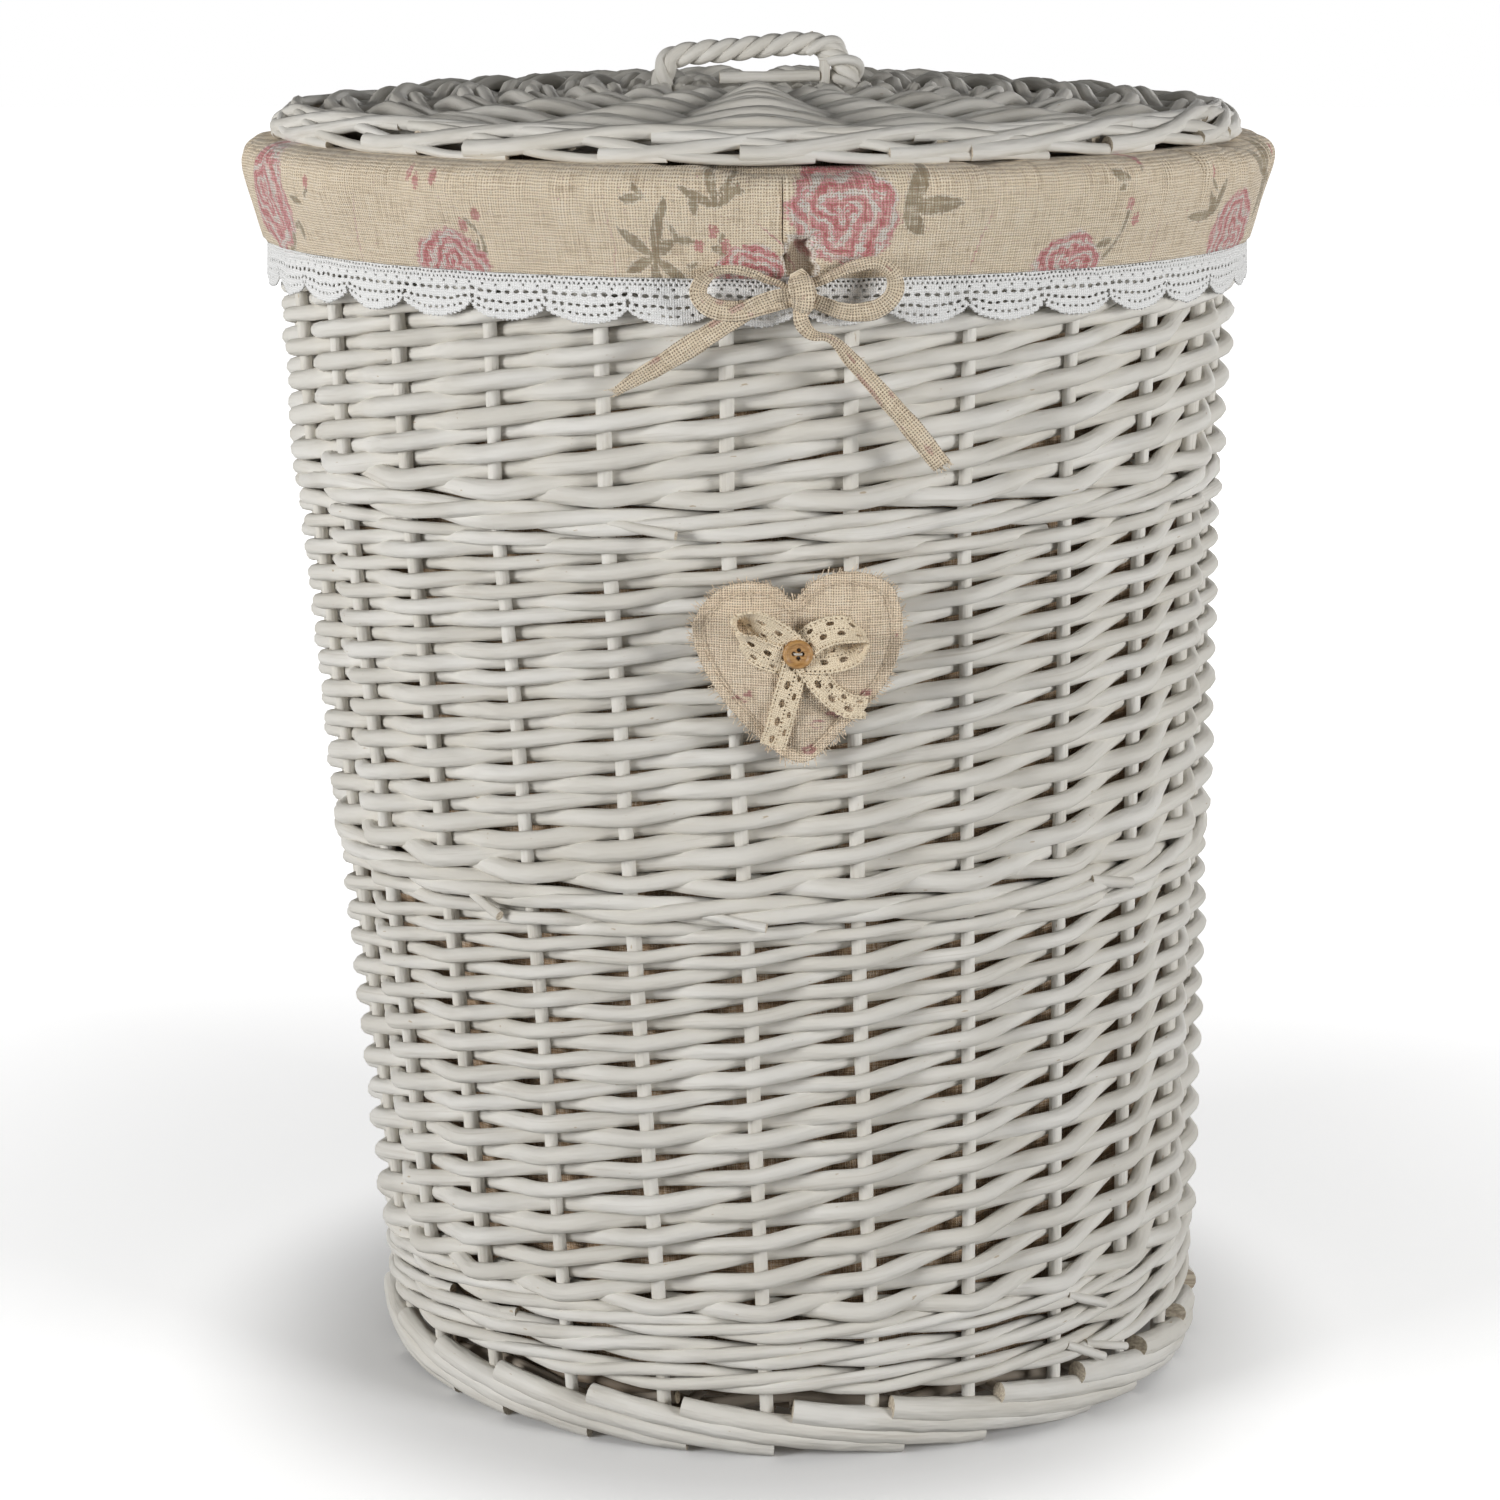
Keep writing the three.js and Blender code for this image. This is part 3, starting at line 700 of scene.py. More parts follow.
def randed_panel(name, bottom, top, rows):
    """French randing: every gap starts a rod, and all the rods climb side by side round the basket."""
    bundle = Bundle()
    amplitude = STAKE_RADIUS + 0.5 * (BUTT_RADIUS + TIP_RADIUS) - 0.2 * MM
    for start in range(STAKES):
        k = np.arange(-1, rows + 2)
        share = np.clip(k / rows, 0, 1)
        z = bottom + (top - bottom) * (1.16 * share - 0.16 * share**2)
        inner_rows = (k > 0) & (k < rows)
        z = z + rng.normal(0, 0.45 * MM, len(k)) * inner_rows
        out = amplitude * np.where(k % 2 == 0, 1.0, -1.0) + rng.normal(0, 0.35 * MM, len(k))
        position = start + k + rng.normal(0, 0.02, len(k))
        u, path = bent_over_stakes(k, wall(stake_angle(position), z, out), 0.11)
        taper = BUTT_RADIUS + (TIP_RADIUS - BUTT_RADIUS) * np.clip(u / rows, 0, 1)
        thickness = taper * rng.uniform(0.9, 1.08) * (1 + 0.05 * noise(u * 0.7, seed=start + 90))
        bundle.tube(path, thickness)
    willow_piece(bundle, name, "rods")


def waled_row(bundle, height, radius, first):
    """Three rods twisted round the stakes: each passes before two stakes and behind one."""
    outside = STAKE_RADIUS + radius - 0.2 * MM
    for strand in range(3):
        nodes, corners = [], []
        for cycle in range(STAKES // 3 + 1):
            here = 3 * cycle
            strokes = [(0, -outside, 0), (0.5, 0, -1), (1, outside, -1), (2, outside, 1), (2.5, 0, 1)]
            for step, out, side in strokes:
                z = height + side * WALE_RISE + rng.normal(0, 0.9 * MM)
                nodes.append(here + step)
                corners.append(wall(stake_angle(first + strand + here + step), z, out))
        u, path = bent_over_stakes(np.array(nodes), np.array(corners), 0.22)
        thickness = radius * np.linspace(1.15, 0.85, len(u)) * rng.uniform(0.93, 1.06)
        bundle.tube(path, thickness)


def stray_ends(bundle, heights, radius, count):
    """Cut ends of rods that stick out of a wale, pointing on round the basket and down."""
    for _ in range(count):
        start = rng.uniform(0, STAKES)
        z = rng.choice(heights) + rng.uniform(-2, 3) * MM
        t = np.linspace(0, 1, 8)
        out = (5 + 6 * t) * MM
        path = wall(stake_angle(start + rng.uniform(0.35, 0.6) * t), z - rng.uniform(2, 9) * MM * t, out)
        bundle.tube(path, radius * rng.uniform(0.6, 0.85))


def wale(name, heights, radius, strays):
    bundle = Bundle()
    for row, height in enumerate(heights):
        waled_row(bundle, height, radius, 4 + 9 * row)
    stray_ends(bundle, heights, radius, strays)
    # Painted shade on the rods inside the wall.
    willow_piece(bundle, name, "rods", bare=painted_shade_inside_wall)


def stakes():
    for index in range(STAKES):
        z = np.linspace(STAKE_BOTTOM, STAKE_TOP, 60)
        theta = stake_angle(index) + 0.004 * noise(z * 14, seed=index + 300)
        bundle = Bundle()
        bundle.tube(wall(theta, z), STAKE_RADIUS * rng.uniform(0.92, 1.1), up=np.array([0.0, 1.0, 0.02]))
        willow_piece(bundle, f"stake_{index + 1:02d}", "rod")


def foot_border():
    """Short thick rods laid like shingles, each from the upper left down to the floor."""
    bundle = Bundle()
    for index in range(STAKES):
        t = np.linspace(0, 1, 30)
        position = index + 0.25 + t * FOOT_ROD_GAPS * rng.uniform(0.94, 1.06) + rng.uniform(-0.1, 0.1)
        radius = FOOT_ROD_RADIUS * rng.uniform(0.92, 1.08)
        z = radius + (FOOT_TOP - radius - 3 * MM) * (1 - t) ** 1.15
        out = (5.5 - 4.5 * t) * MM + 1.5 * MM * np.sin(np.pi * t)
        bundle.tube(wall(stake_angle(position), z, out), radius, sides=14)
    # Painted shade on the rods inside the wall.
    willow_piece(bundle, "foot_border", "rods", bare=painted_shade_inside_wall)


# ---------------------------------------------------------------- base and lid weaves


def disc_weave(bundle, half, inner, height, spokes, rows, radius, swing, centre=0, front_hump=0, back_hump=0):
    """Two rods spiralling outwards round radial spokes, over one spoke and under the next."""
    for strand in range(2):
        k = np.arange(0, rows * spokes // 2)
        share = k / (rows * spokes / 2)
        radial = inner + (half - inner) * share + strand * (half - inner) / rows
        side = np.where((k + strand) % 2 == 0, 1.0, -1.0)
        turn = k / spokes * TURN - np.pi / 2
        settled = (0.45 + 0.55 * smoothstep(0.0, 0.3, share)) * (1 + front_hump * (k % spokes == 0))
        settled = settled * (1 + back_hump * np.maximum(np.sin(turn), 0))
        z = height(radial / half) + swing * side * settled + rng.normal(0, 0.35 * MM, len(k))
        corners = oval(turn, radial + rng.normal(0, 0.3 * MM, len(k)), z)
        corners[:, 0] += centre
        u, path = bent_over_stakes(k, corners)
        bundle.tube(path, radius * (1 + 0.1 * noise(u * 0.11, seed=strand + 7)), sides=8)


def spokes_of(bundle, count, inner, outer, height, half, radius, centre=0.0):
    for index in range(count):
        theta = np.full(12, index / count * TURN - np.pi / 2)
        radial = np.linspace(inner, outer, 12)
        points = oval(theta, radial, height(radial / half))
        points[:, 0] += centre
        bundle.tube(points, radius * rng.uniform(0.95, 1.05), sides=8)


def base_height(share):
    return np.full_like(share, BASE_Z)


def base_weave():
    bundle = Bundle()
    centre = float(lean(0.0))
    disc_weave(
        bundle,
        half=BASE_HALF,
        inner=24 * MM,
        height=base_height,
        spokes=BASE_SPOKES,
        rows=24,
        radius=3.1 * MM,
        swing=4.2 * MM,
        centre=centre,
    )
    outer = BASE_HALF + 5 * MM
    spokes_of(bundle, BASE_SPOKES, 18 * MM, outer, base_height, BASE_HALF, radius=2.7 * MM, centre=centre)
    # The base's rods take the darker willow: painted shade.
    willow_piece(bundle, "base_weave", "rods", "basket", shaded_base_willow)


def crossed_sticks(prefix, body, length, z, centre, material):
    """Two sticks along the oval and two across them, one pair lying just over the other."""
    t = np.linspace(-1, 1, 16)
    for index, (along_x, side) in enumerate([(True, -1), (True, 1), (False, -1), (False, 1)]):
        half = length / 2 * (1 if along_x else DEPTH)
        offset = np.full_like(t, side * STICK_SPACING / 2)
        lift = np.full_like(t, z + (1 if along_x else -1) * 1.2 * MM)
        path = np.stack([t * half, offset, lift] if along_x else [offset, t * half, lift], -1)
        path[:, 0] += centre
        bundle = Bundle()
        bundle.tube(path, STICK_RADIUS)
        willow_piece(bundle, f"{prefix}_{index + 1}", "rod", body, material)


def lid_height(share):
    return LID_EDGE_Z + (LID_CENTRE_Z - LID_EDGE_Z) * (1 - np.clip(share, 0, 1) ** 2)


def settle_back(bundle, drop):
    """Lets the back of the lid sit a little lower than its front."""
    for points in bundle.points:
        points[:, 2] -= drop * smoothstep(-0.05, 0.2, points[:, 1])


def lid_weave():
    bundle = Bundle()
    disc_weave(
        bundle,
        half=LID_WEAVE_OUTER,
        inner=16 * MM,
        height=lid_height,
        spokes=LID_SPOKES,
        rows=25,
        radius=3.7 * MM,
        swing=5.8 * MM,
        front_hump=0.5,
        back_hump=0.8,
    )
    outer = LID_WEAVE_OUTER + 6 * MM
    spokes_of(bundle, LID_SPOKES, 10 * MM, outer, lid_height, LID_WEAVE_OUTER, radius=3.0 * MM)
    settle_back(bundle, 0.5 * LID_BACK_DROP)
    lid_centre_rods(bundle)
    # Painted shade on the rods below the lid's weave.
    willow_piece(bundle, "lid_weave", "rods", "lid", shaded_lid_willow, painted_shade_under_lid)


def lid_centre_rods(bundle):
    """The rod and the stub that lie across the middle of the lid, under the handle."""
    t = np.linspace(0, 1, 10)
    level = np.stack([(-17 + 46 * t) * MM, (-6 + 3 * t) * MM, (609.6 + 0.8 * t) * MM], -1)
    bundle.tube(level, 2.7 * MM)
    stub = np.stack([np.full(6, 31.5) * MM, np.full(6, -3.0) * MM, np.linspace(604, 617.5, 6) * MM], -1)
    bundle.tube(stub, 2.6 * MM, up=BACK)


def lid_border():
    """Long rods laid round the edge, each climbing from its cut butt, with thin ends crossing below."""
    bundle = Bundle()
    t = np.linspace(0, 1, 50)
    for index in range(LID_STROKES):
        wander = 0.7 * MM * noise(t * 5, seed=index + 400)
        turn = (index + rng.uniform(-0.25, 0.25) + t * rng.uniform(3.0, 3.8)) / LID_STROKES
        climb = smoothstep(0, 0.45, t)
        z = (589.0 + 9.5 * climb - 1.5 * t) * MM + wander
        half = LID_HALF - (4.0 + 7.0 * climb + 2.0 * t) * MM + 1.5 * MM * np.sin(TURN * t * 1.3)
        bundle.tube(oval(turn * TURN, half, z), (3.7 - 1.3 * t) * MM * rng.uniform(0.9, 1.1))
        turn = (index + rng.uniform(0.2, 0.7) + t * rng.uniform(2.0, 2.6)) / LID_STROKES
        z = (596.5 - 9.5 * smoothstep(0.1, 0.8, t)) * MM + wander
        half = LID_HALF - (12.0 - 8.5 * smoothstep(0.0, 0.6, t)) * MM
        bundle.tube(oval(turn * TURN, half, z), (3.0 - 0.9 * t) * MM * rng.uniform(0.85, 1.1))
    settle_back(bundle, LID_BACK_DROP)
    willow_piece(bundle, "lid_border", "rods", "lid", shaded_lid_willow)


def handle():
    """A rope of three twisted rods bent into a low arch, wound thicker at its right foot."""
    bundle = Bundle()
    arch = spline([(x * MM, 0, z * MM) for x, z in HANDLE_LINE], 150)
    normal = np.cross(unit(np.gradient(arch, axis=0)), BACK)
    along = np.linspace(0, 1, len(arch))
    for strand in range(3):
        angle = TURN * (along * 4.2 + strand / 3)
        ring = np.cos(angle)[:, None] * normal + np.sin(angle)[:, None] * BACK
        bundle.tube(arch + 2.6 * MM * ring, 2.9 * MM, sides=12, up=BACK)
    foot = slice(104, 146)
    for strand in range(2):
        angle = TURN * (along[foot] * 5.0 + strand / 2 + 0.1)
        wide = (4.2 + 2.2 * smoothstep(0.7, 0.9, along[foot])) * MM
        ring = np.cos(angle)[:, None] * normal[foot] + np.sin(angle)[:, None] * BACK
        bundle.tube(arch[foot] + wide[:, None] * ring, 2.3 * MM, up=BACK)
    willow_piece(bundle, "lid_handle", "rope", "lid", shaded_lid_willow)


# ---------------------------------------------------------------- liner


CUFF_PROFILE = [
    # (half width, height), from the inside over the rim and down to the lace
    (206, 574), (207, 581), (213, 583.8), (223, 584), (231, 582.6), (235.6, 578.6),
    (236.4, 572.5), (234.8, 564), (232.2, 555), (229.6, 546.5), (227.2, 539),
]
ROSES = [
    # (mm along the front from its middle, height above the lace, radius)
    (35, 27, 23),
    (-3, 2, 14),
    (-136, 1, 19),
    (-262, 24, 27),
    (139, 0, 18),
    (255, 6, 24),
]
CLUSTERS = [
    # (mm along the front, height, length of a leaf, leaves, turn of the first in degrees)
    (-43, 9, 15, 6, 20),
    (60, 29, 15, 3, -60),
    (-16, 30, 12, 3, 40),
    (-238, 14, 13, 3, 100),
    (228, 18, 13, 3, 60),
]
STEMS = [
    # (from along, from height, to along, to height, leaves on it)
    (-43, 9, -10, 42, 3),
    (-33, 18, -50, 38, 2),
    (-28, 5, -14, 18, 1),
    (-124, 22, -118, 8, 1),
    (166, 24, 158, 4, 1),
    (172, 42, 160, 34, 1),
    (222, 34, 236, 12, 2),
    (-215, 30, -236, 12, 2),
]
BUDS = [
    # (mm along the front, height)
    (-152, 40), (-147, 37), (-138, 39), (-18, 20), (-13, 14), (-24, 14),
    (-119, 25), (-126, 20), (166, 27), (171, 20), (172, 44), (223, 37),
    (-215, 33),
]

# The back of the cuff: the same motifs, one after another.
for turn, middle in enumerate((345, 440, 535, 635, -345, -445, -550)):
    low = 8.0 + 20.0 * (turn % 2)
    ROSES.append((middle, low, 23.0))
    CLUSTERS.append((middle - 48.0, 34.0 - 0.6 * low, 15.0, 5 - turn % 2, 25.0 * turn))
    STEMS.append((middle - 48.0, 34.0 - 0.6 * low, middle - 28.0, 42.0 - 0.6 * low, 2))
    BUDS.append((middle - 26.0, 44.0 - 0.6 * low))


def leaf_shape(s, h, start, length, direction, width):
    """Strength of a pointed leaf that starts at a point and runs in a direction."""
    dx, dy = s - start[0], h - start[1]
    along = (dx * np.cos(direction) + dy * np.sin(direction)) / length
    across = np.abs(dy * np.cos(direction) - dx * np.sin(direction))
    half = width * np.sin(np.pi * np.clip(along, 0, 1)) ** 0.8 + 0.01
    return smoothstep(1.25, 0.6, across / half) * (along > 0) * (along < 1)


def stem_shape(s, h, start, end):
    way = end - start
    t = np.clip(((s - start[0]) * way[0] + (h - start[1]) * way[1]) / (way @ way), 0, 1)
    bow = 2.5 * np.sin(np.pi * t)
    return 0.9 * smoothstep(1.5, 0.7, np.hypot(s - start[0] - t * way[0] - bow, h - start[1] - t * way[1]))


def leaf_strength(s, h):
    leaf = np.zeros_like(s)
    for number, (at, height, length, count, first) in enumerate(CLUSTERS):
        for turn in range(count):
            direction = np.radians(first + turn * 360 / (count if count > 3 else 2 * count))
            direction = direction + 0.4 * noise(turn * 1.7, number * 1.3, 91)
            reach = length * (0.85 + 0.3 * (turn * 7 + number) % 3 / 3)
            width = (0.17 + 0.09 * (number % 2)) * length
            leaf = np.maximum(leaf, leaf_shape(s, h, (at, height), reach, direction, width))
    for from_s, from_h, to_s, to_h, leaves in STEMS:
        start, end = np.array([from_s, from_h]), np.array([to_s, to_h])
        leaf = np.maximum(leaf, stem_shape(s, h, start, end))
        heading = np.arctan2(*(end - start)[::-1])
        for number in range(leaves):
            base = start + (end - start) * (number + 0.8) / (leaves + 0.3)
            side = heading + (0.9 if number % 2 else -0.9)
            leaf = np.maximum(leaf, leaf_shape(s, h, base, 9.5, side, 1.9))
    return leaf


def bud_strength(s, h):
    bud = np.zeros_like(s)
    for at, height in BUDS:
        bud = np.maximum(bud, smoothstep(3.2, 0.8, np.hypot(s - at, (h - height) * 0.7)))
    return bud


def bloom_place(s, h):
    """Each point's place within the rose that is nearest for its size, in radii, with the rose's number."""
    best = np.full(s.shape, np.inf)
    bloom = np.zeros((*s.shape, 3))
    for number, (at, height, radius) in enumerate(ROSES):
        x, y = (s - at) / radius, (h - height) / radius
        near = np.hypot(x, y) < best
        best = np.where(near, np.hypot(x, y), best)
        bloom[near] = np.stack([x, y, np.full_like(x, 1.7 * number + 3)], -1)[near]
    return bloom


def oval_girth(half, start):
    """Angles once round the oval, and the distance (mm) round it from the first to each."""
    fine = np.linspace(start, start + TURN, 4001)
    speed = np.hypot(half * np.sin(fine), DEPTH * half * np.cos(fine))
    return fine, np.concatenate([[0], np.cumsum((speed[1:] + speed[:-1]) / 2 * np.diff(fine))]) / MM


def around_front(theta, half):
    """Signed distance (mm) round the oval from its front middle."""
    fine, length = oval_girth(half, -np.pi)
    distance = np.interp((theta + np.pi) % TURN - np.pi, fine, length) - np.interp(-np.pi / 2, fine, length)
    return np.where(distance > length[-1] / 2, distance - length[-1], distance)


def cuff():
    """The liner's top, folded out over the rim, with a seam and a slit for the drawstring at its front."""
    columns, steps = 1580, 58
    profile = spline(np.array(CUFF_PROFILE) * MM, steps)
    theta = np.linspace(0, TURN, columns, endpoint=False) + np.pi / 2
    s = np.broadcast_to(around_front(theta, CUFF_HALF), (steps, columns))
    down = np.linspace(0, 1, steps)[:, None]
    high = smoothstep(0.95, 0.5, down) * smoothstep(0.1, 0.3, down)
    folds = 3.4 * noise(s / 34, down * 1.4, 3) + 1.5 * noise(s / 13 + 2 * noise(s / 50, 0, 8), down * 1.8, 5)
    sides = smoothstep(120, 190, np.abs(s))
    pleats = (0.6 + 1.3 * sides) * noise(s / 5.5 + 3 * down, down * 1.6, 9) * smoothstep(0.8, 0.35, down)
    edge = 0.35 * np.cos(s / 4.6) * smoothstep(0.8, 1.0, down)
    seam = 1.3 * ridge(s, 13.2, 1.9) - 2.0 * ridge(s, 10.5, 1.3)
    out = (high * (folds + pleats) + edge + seam * smoothstep(0.15, 0.35, down)) * MM
    height = np.broadcast_to(profile[:, 1:], s.shape)
    slit = slit_depth(s, height)
    frayed = ridge(slit, 0.35, 0.36) * (slit > 0.02)
    out = out - 5.0 * MM * slit + 1.3 * MM * frayed * noise(s / 1.6, height / MM / 2.4, 15)
    points = oval(theta[None], profile[:, :1], height, out)
    points[..., 2] -= 1.2 * MM * high * np.maximum(0, -folds)
    obj = grid_object("liner_cuff_cloth", points, cuff_linen, around=True)
    h = (points[..., 2] - CUFF_LACE_Z) / MM
    put_vector(obj, "grain", np.stack([s * MM, points[..., 2], 0 * s], -1).reshape(-1, 3))
    put_vector(obj, "bloom", bloom_place(s, h).reshape(-1, 3))
    put_float(obj, "leaf", leaf_strength(s, h).ravel())
    put_float(obj, "bud", bud_strength(s, h).ravel())
    # Painted shade: the inside of the slit is drawn dark brown.
    put_float(obj, "cut_ends_and_shade", (0.8 * smoothstep(0.5, 0.9, slit)).ravel())
    put_float(obj, "frayed", (frayed * (down > 0.3)).ravel())
    thicken(obj, CLOTH)
    place(obj, "liner", ["liner_cuff"])
    lace()


def slit_depth(s, z):
    """1 inside the pear-shaped slit in the cuff above the knot, falling to 0 at its raw edges."""
    h = z / MM
    half = 4.2 + 2.4 * smoothstep(556, 544, h) + 1.1 * noise(h / 2.6, 0, 77)
    beside = smoothstep(half + 2.6, half - 0.8, np.abs(s - 17.5 - 1.0 * noise(h / 3.4, 0, 78)))
    return beside * smoothstep(560.5, 555.5, h)


def bag():
    """The liner inside the basket: a wall of cloth hung from the rim, and its floor."""
    columns, rows = 240, 120
    z = np.linspace(BAG_BOTTOM, BAG_TOP, rows)[:, None]
    theta = np.linspace(0, TURN, columns, endpoint=False)[None]
    s = around_front(theta, 190 * MM)
    out = (1.6 * noise(s / 40, z * 14, 21) - 1.2) * MM
    points = oval(theta, BAG_HALF + FLARE * z, z, out)
    points[..., 0] += lean(points[..., 2])
    floor = oval(theta, np.linspace(8, 176, 16)[:, None] * MM, 28.5 * MM)
    floor[..., 0] += lean(BAG_BOTTOM)
    points = np.concatenate([floor, points])
    obj = grid_object("liner_bag_cloth", points, bag_linen, around=True)
    flat_s = np.broadcast_to(s, points.shape[:2]).ravel()
    put_vector(obj, "grain", np.stack([flat_s * MM, points[..., 2].ravel(), points[..., 0].ravel()], -1))
    thicken(obj, CLOTH)
    place(obj, "liner", ["liner_bag"])


def pierced(u, v, solid, step):
    """Pulls a flat grid's points onto the edge of its holes. solid(u, v) is the distance inside the cloth."""
    small = 0.02
    value = solid(u, v)
    slope_u = (solid(u + small, v) - solid(u - small, v)) / (2 * small)
    slope_v = (solid(u, v + small) - solid(u, v - small)) / (2 * small)
    share = value / np.maximum(slope_u**2 + slope_v**2, 0.2)
    near = np.abs(value) < 0.75 * step
    u = np.where(near, u - np.clip(share * slope_u, -step, step), u)
    v = np.where(near, v - np.clip(share * slope_v, -step, step), v)
    inside = value > -0.3 * step
    keep = (inside[:-1, :-1].astype(int) + inside[1:, :-1] + inside[:-1, 1:] + inside[1:, 1:]) > 3
    return u, v, keep


def row_of_holes(u, v, row_v, pitch, half_width, half_height, shift=0.0):
    """Distance outside the nearest of a row of oval holes."""
    du = ((u / pitch + shift) % 1 - 0.5) * pitch
    return (np.hypot(du / half_width, (v - row_v) / half_height) - 1) * min(half_width, half_height)


def lace_solid(u, v):
    """How far a point of the edging is inside its threads; v runs down from the sewn edge."""
    scallop = np.abs(np.sin(np.pi * u / LACE_REPEAT)) ** 0.6
    bottom = 13.2 + 6.8 * scallop + 0.7 * np.abs(np.sin(np.pi * u / 2.35))
    solid = bottom - v
    for number, (start, follow, pitch, half_width, half_height) in enumerate(LACE_ROWS):
        row_v = start + follow * scallop
        holes = row_of_holes(u, v, row_v, pitch, half_width, half_height, 0.5 * (number % 2))
        solid = np.minimum(solid, holes)
    return solid


def lace():
    """Crochet edging sewn under the cuff, its scallops repeated round the basket."""
    step = 0.66
    around = LACE_REPEATS * LACE_REPEAT
    v, u = np.meshgrid(np.arange(-0.6, 21.4, step), np.arange(0, around + step / 2, step), indexing="ij")
    u, v, keep = pierced(u, v, lace_solid, step)
    s = (u / around - 0.5) * LACE_LENGTH
    z = CUFF_LACE_Z - v * MM + 0.5 * MM * noise(s / 6.0, v / 6.0, 31)
    out = (0.7 * noise(s / 14, v / 12, 33) + 0.5 * smoothstep(8, 20, v) * noise(s / 7, 0, 35)) * MM
    obj = grid_object("lace_edging", oval(angle_at(s), LACE_HALF, z, out), lace_cotton, keep=keep)
    put_vector(obj, "grain", np.stack([u, v, 0 * u], -1).reshape(-1, 3) * MM)
    thicken(obj, 0.8 * MM)
    return place(obj, "liner", ["lace_trim"])


def angle_at(s):
    """The angle at a signed distance (mm) round the lace's oval from the front middle."""
    fine, length = oval_girth(LACE_HALF, -1.5 * np.pi)
    return np.interp(s + np.interp(-np.pi / 2, fine, length), length, fine)


# ---------------------------------------------------------------- drawstring bow


def tape_frame(path, roll):
    """Across and through directions of a tape whose face is turned by roll from facing the front."""
    tangent = unit(np.gradient(path, axis=0))
    side = unit(np.cross(tangent, [0.0, -1.0, 0.0]))
    face = np.cross(side, tangent)
    turn = np.radians(roll)[:, None]
    wide = np.cos(turn) * side + np.sin(turn) * face
    return tangent, wide, np.cross(tangent, wide)


def tape_section():
    """Places across the tape, there and back, how far its cloth stands out from the middle, and its fold."""
    across = np.concatenate([np.linspace(-1, 1, 15), np.linspace(1, -1, 9)[1:-1]])
    front = np.concatenate([np.ones(15), -np.ones(7)])
    puff = 0.95 * np.sqrt(np.maximum(1 - np.abs(across) ** 3, 0.0)) + 0.12
    fold = 0.25 * ridge(across, 0.72, 0.07) * (front > 0)
    return across, front * (puff - fold), fold


def lay_tape(bundle, route, half_widths, rolls, seed):
    """A flat tube of woven tape with a folded edge, along a route in millimetres. Gives its middle line."""
    count = 110
    path = spline(np.array(route) * MM, count)
    t = np.linspace(0, 1, count)
    half = spread_over(t, half_widths) * MM * (1 + 0.07 * noise(t * 13, seed=seed))
    tangent, wide, thin = tape_frame(path, spread_over(t, rolls) + 8 * noise(t * 6, seed=seed + 1))
    across, through, fold = tape_section()
    sides = len(across)
    s = t * length_of(path) / MM
    crumple = 0.55 * noise(s[:, None] / 5.5, across[None] * 1.3, seed + 2)
    offset = (through[None] + crumple) * MM
    points = path[:, None] + half[:, None, None] * across[None, :, None] * wide[:, None]
    points = points - offset[..., None] * thin[:, None]
    grain = np.stack(np.broadcast_arrays(s[:, None] * MM, half[:, None] * across[None], 0.0), -1)
    marks = smoothstep(0.45, 0.9, noise(s[:, None] / 7, across[None] * 1.4, seed + 3))
    # Painted shade along the tape's fold.
    painted_fold_shade = np.broadcast_to(1.6 * fold, (count, sides))
    caps = []
    for ring in (0, count - 1):
        a = ring * sides + np.arange(sides)
        caps.append(np.stack([a, np.roll(a, -1), np.full(sides, count * sides + len(caps))], -1))
    caps[0] = caps[0][:, ::-1]
    bundle.add(
        np.concatenate([points.reshape(-1, 3), points[0].mean(0)[None], points[-1].mean(0)[None]]),
        grid_quads(count, sides, True).reshape(-1, 4),
        np.concatenate(caps),
        np.concatenate([grain.reshape(-1, 3), grain[[0, -1], 0]]),
        np.append(marks, [0.0, 0.0]),
        np.append(painted_fold_shade, [0.3, 0.3]),
    )
    return path, wide, tangent


def fray(bundle, at, ways, length, radius=0.16 * MM):
    """Loose threads from each point of a cut edge."""
    for start, way in zip(at, ways):
        bend = rng.normal(0, 0.35, 3)
        reach = length * rng.uniform(0.4, 1.3)
        t = np.linspace(0, 1, 5)[:, None]
        path = start + way * t * reach + bend * reach * t**2
        bundle.tube(path, radius * rng.uniform(0.7, 1.2), 4, 0.0, np.array([0.1, 1.0, 0.2]))


def tape_cord(name, route, half_widths, rolls, far_end, lay, seed):
    """One loop or tail of the bow. A bare end is frayed."""
    bundle = Bundle()
    path, wide, tangent = lay_tape(bundle, route, half_widths, rolls, seed)
    if far_end == "bare":
        across = rng.uniform(-1, 1, 16)[:, None] * half_widths[-1] * MM
        fray(bundle, path[-1] + across * wide[-1], np.repeat(tangent[-1:], 16, 0), 2.6 * MM)
    obj = bundle.build(name + "_tape", tape_linen, "liner", [name], "tape")


def knot_lump():
    """The points and faces of the uneven ball of tape inside the knot."""
    rows, columns = 12, 24
    around = np.linspace(0, TURN, columns, endpoint=False)
    theta, phi = np.meshgrid(around, np.linspace(0.02, np.pi - 0.02, rows))
    lump = 1 + 0.1 * noise(theta * 3, phi * 3, 56)
    ball = np.stack([np.sin(phi) * np.cos(theta), np.sin(phi) * np.sin(theta), np.cos(phi)], -1) * KNOT_HALF
    points = (ball * lump[..., None] * MM + [BOW_X, BOW_Y, BOW_Z]).reshape(-1, 3)
    poles = [[j, (j + 1) % columns, 0] for j in range(1, columns - 1)]
    last = (rows - 1) * columns
    poles += [[last + (j + 1) % columns, last + j, last] for j in range(1, columns - 1)]
    return points, grid_quads(rows, columns, True).reshape(-1, 4), poles


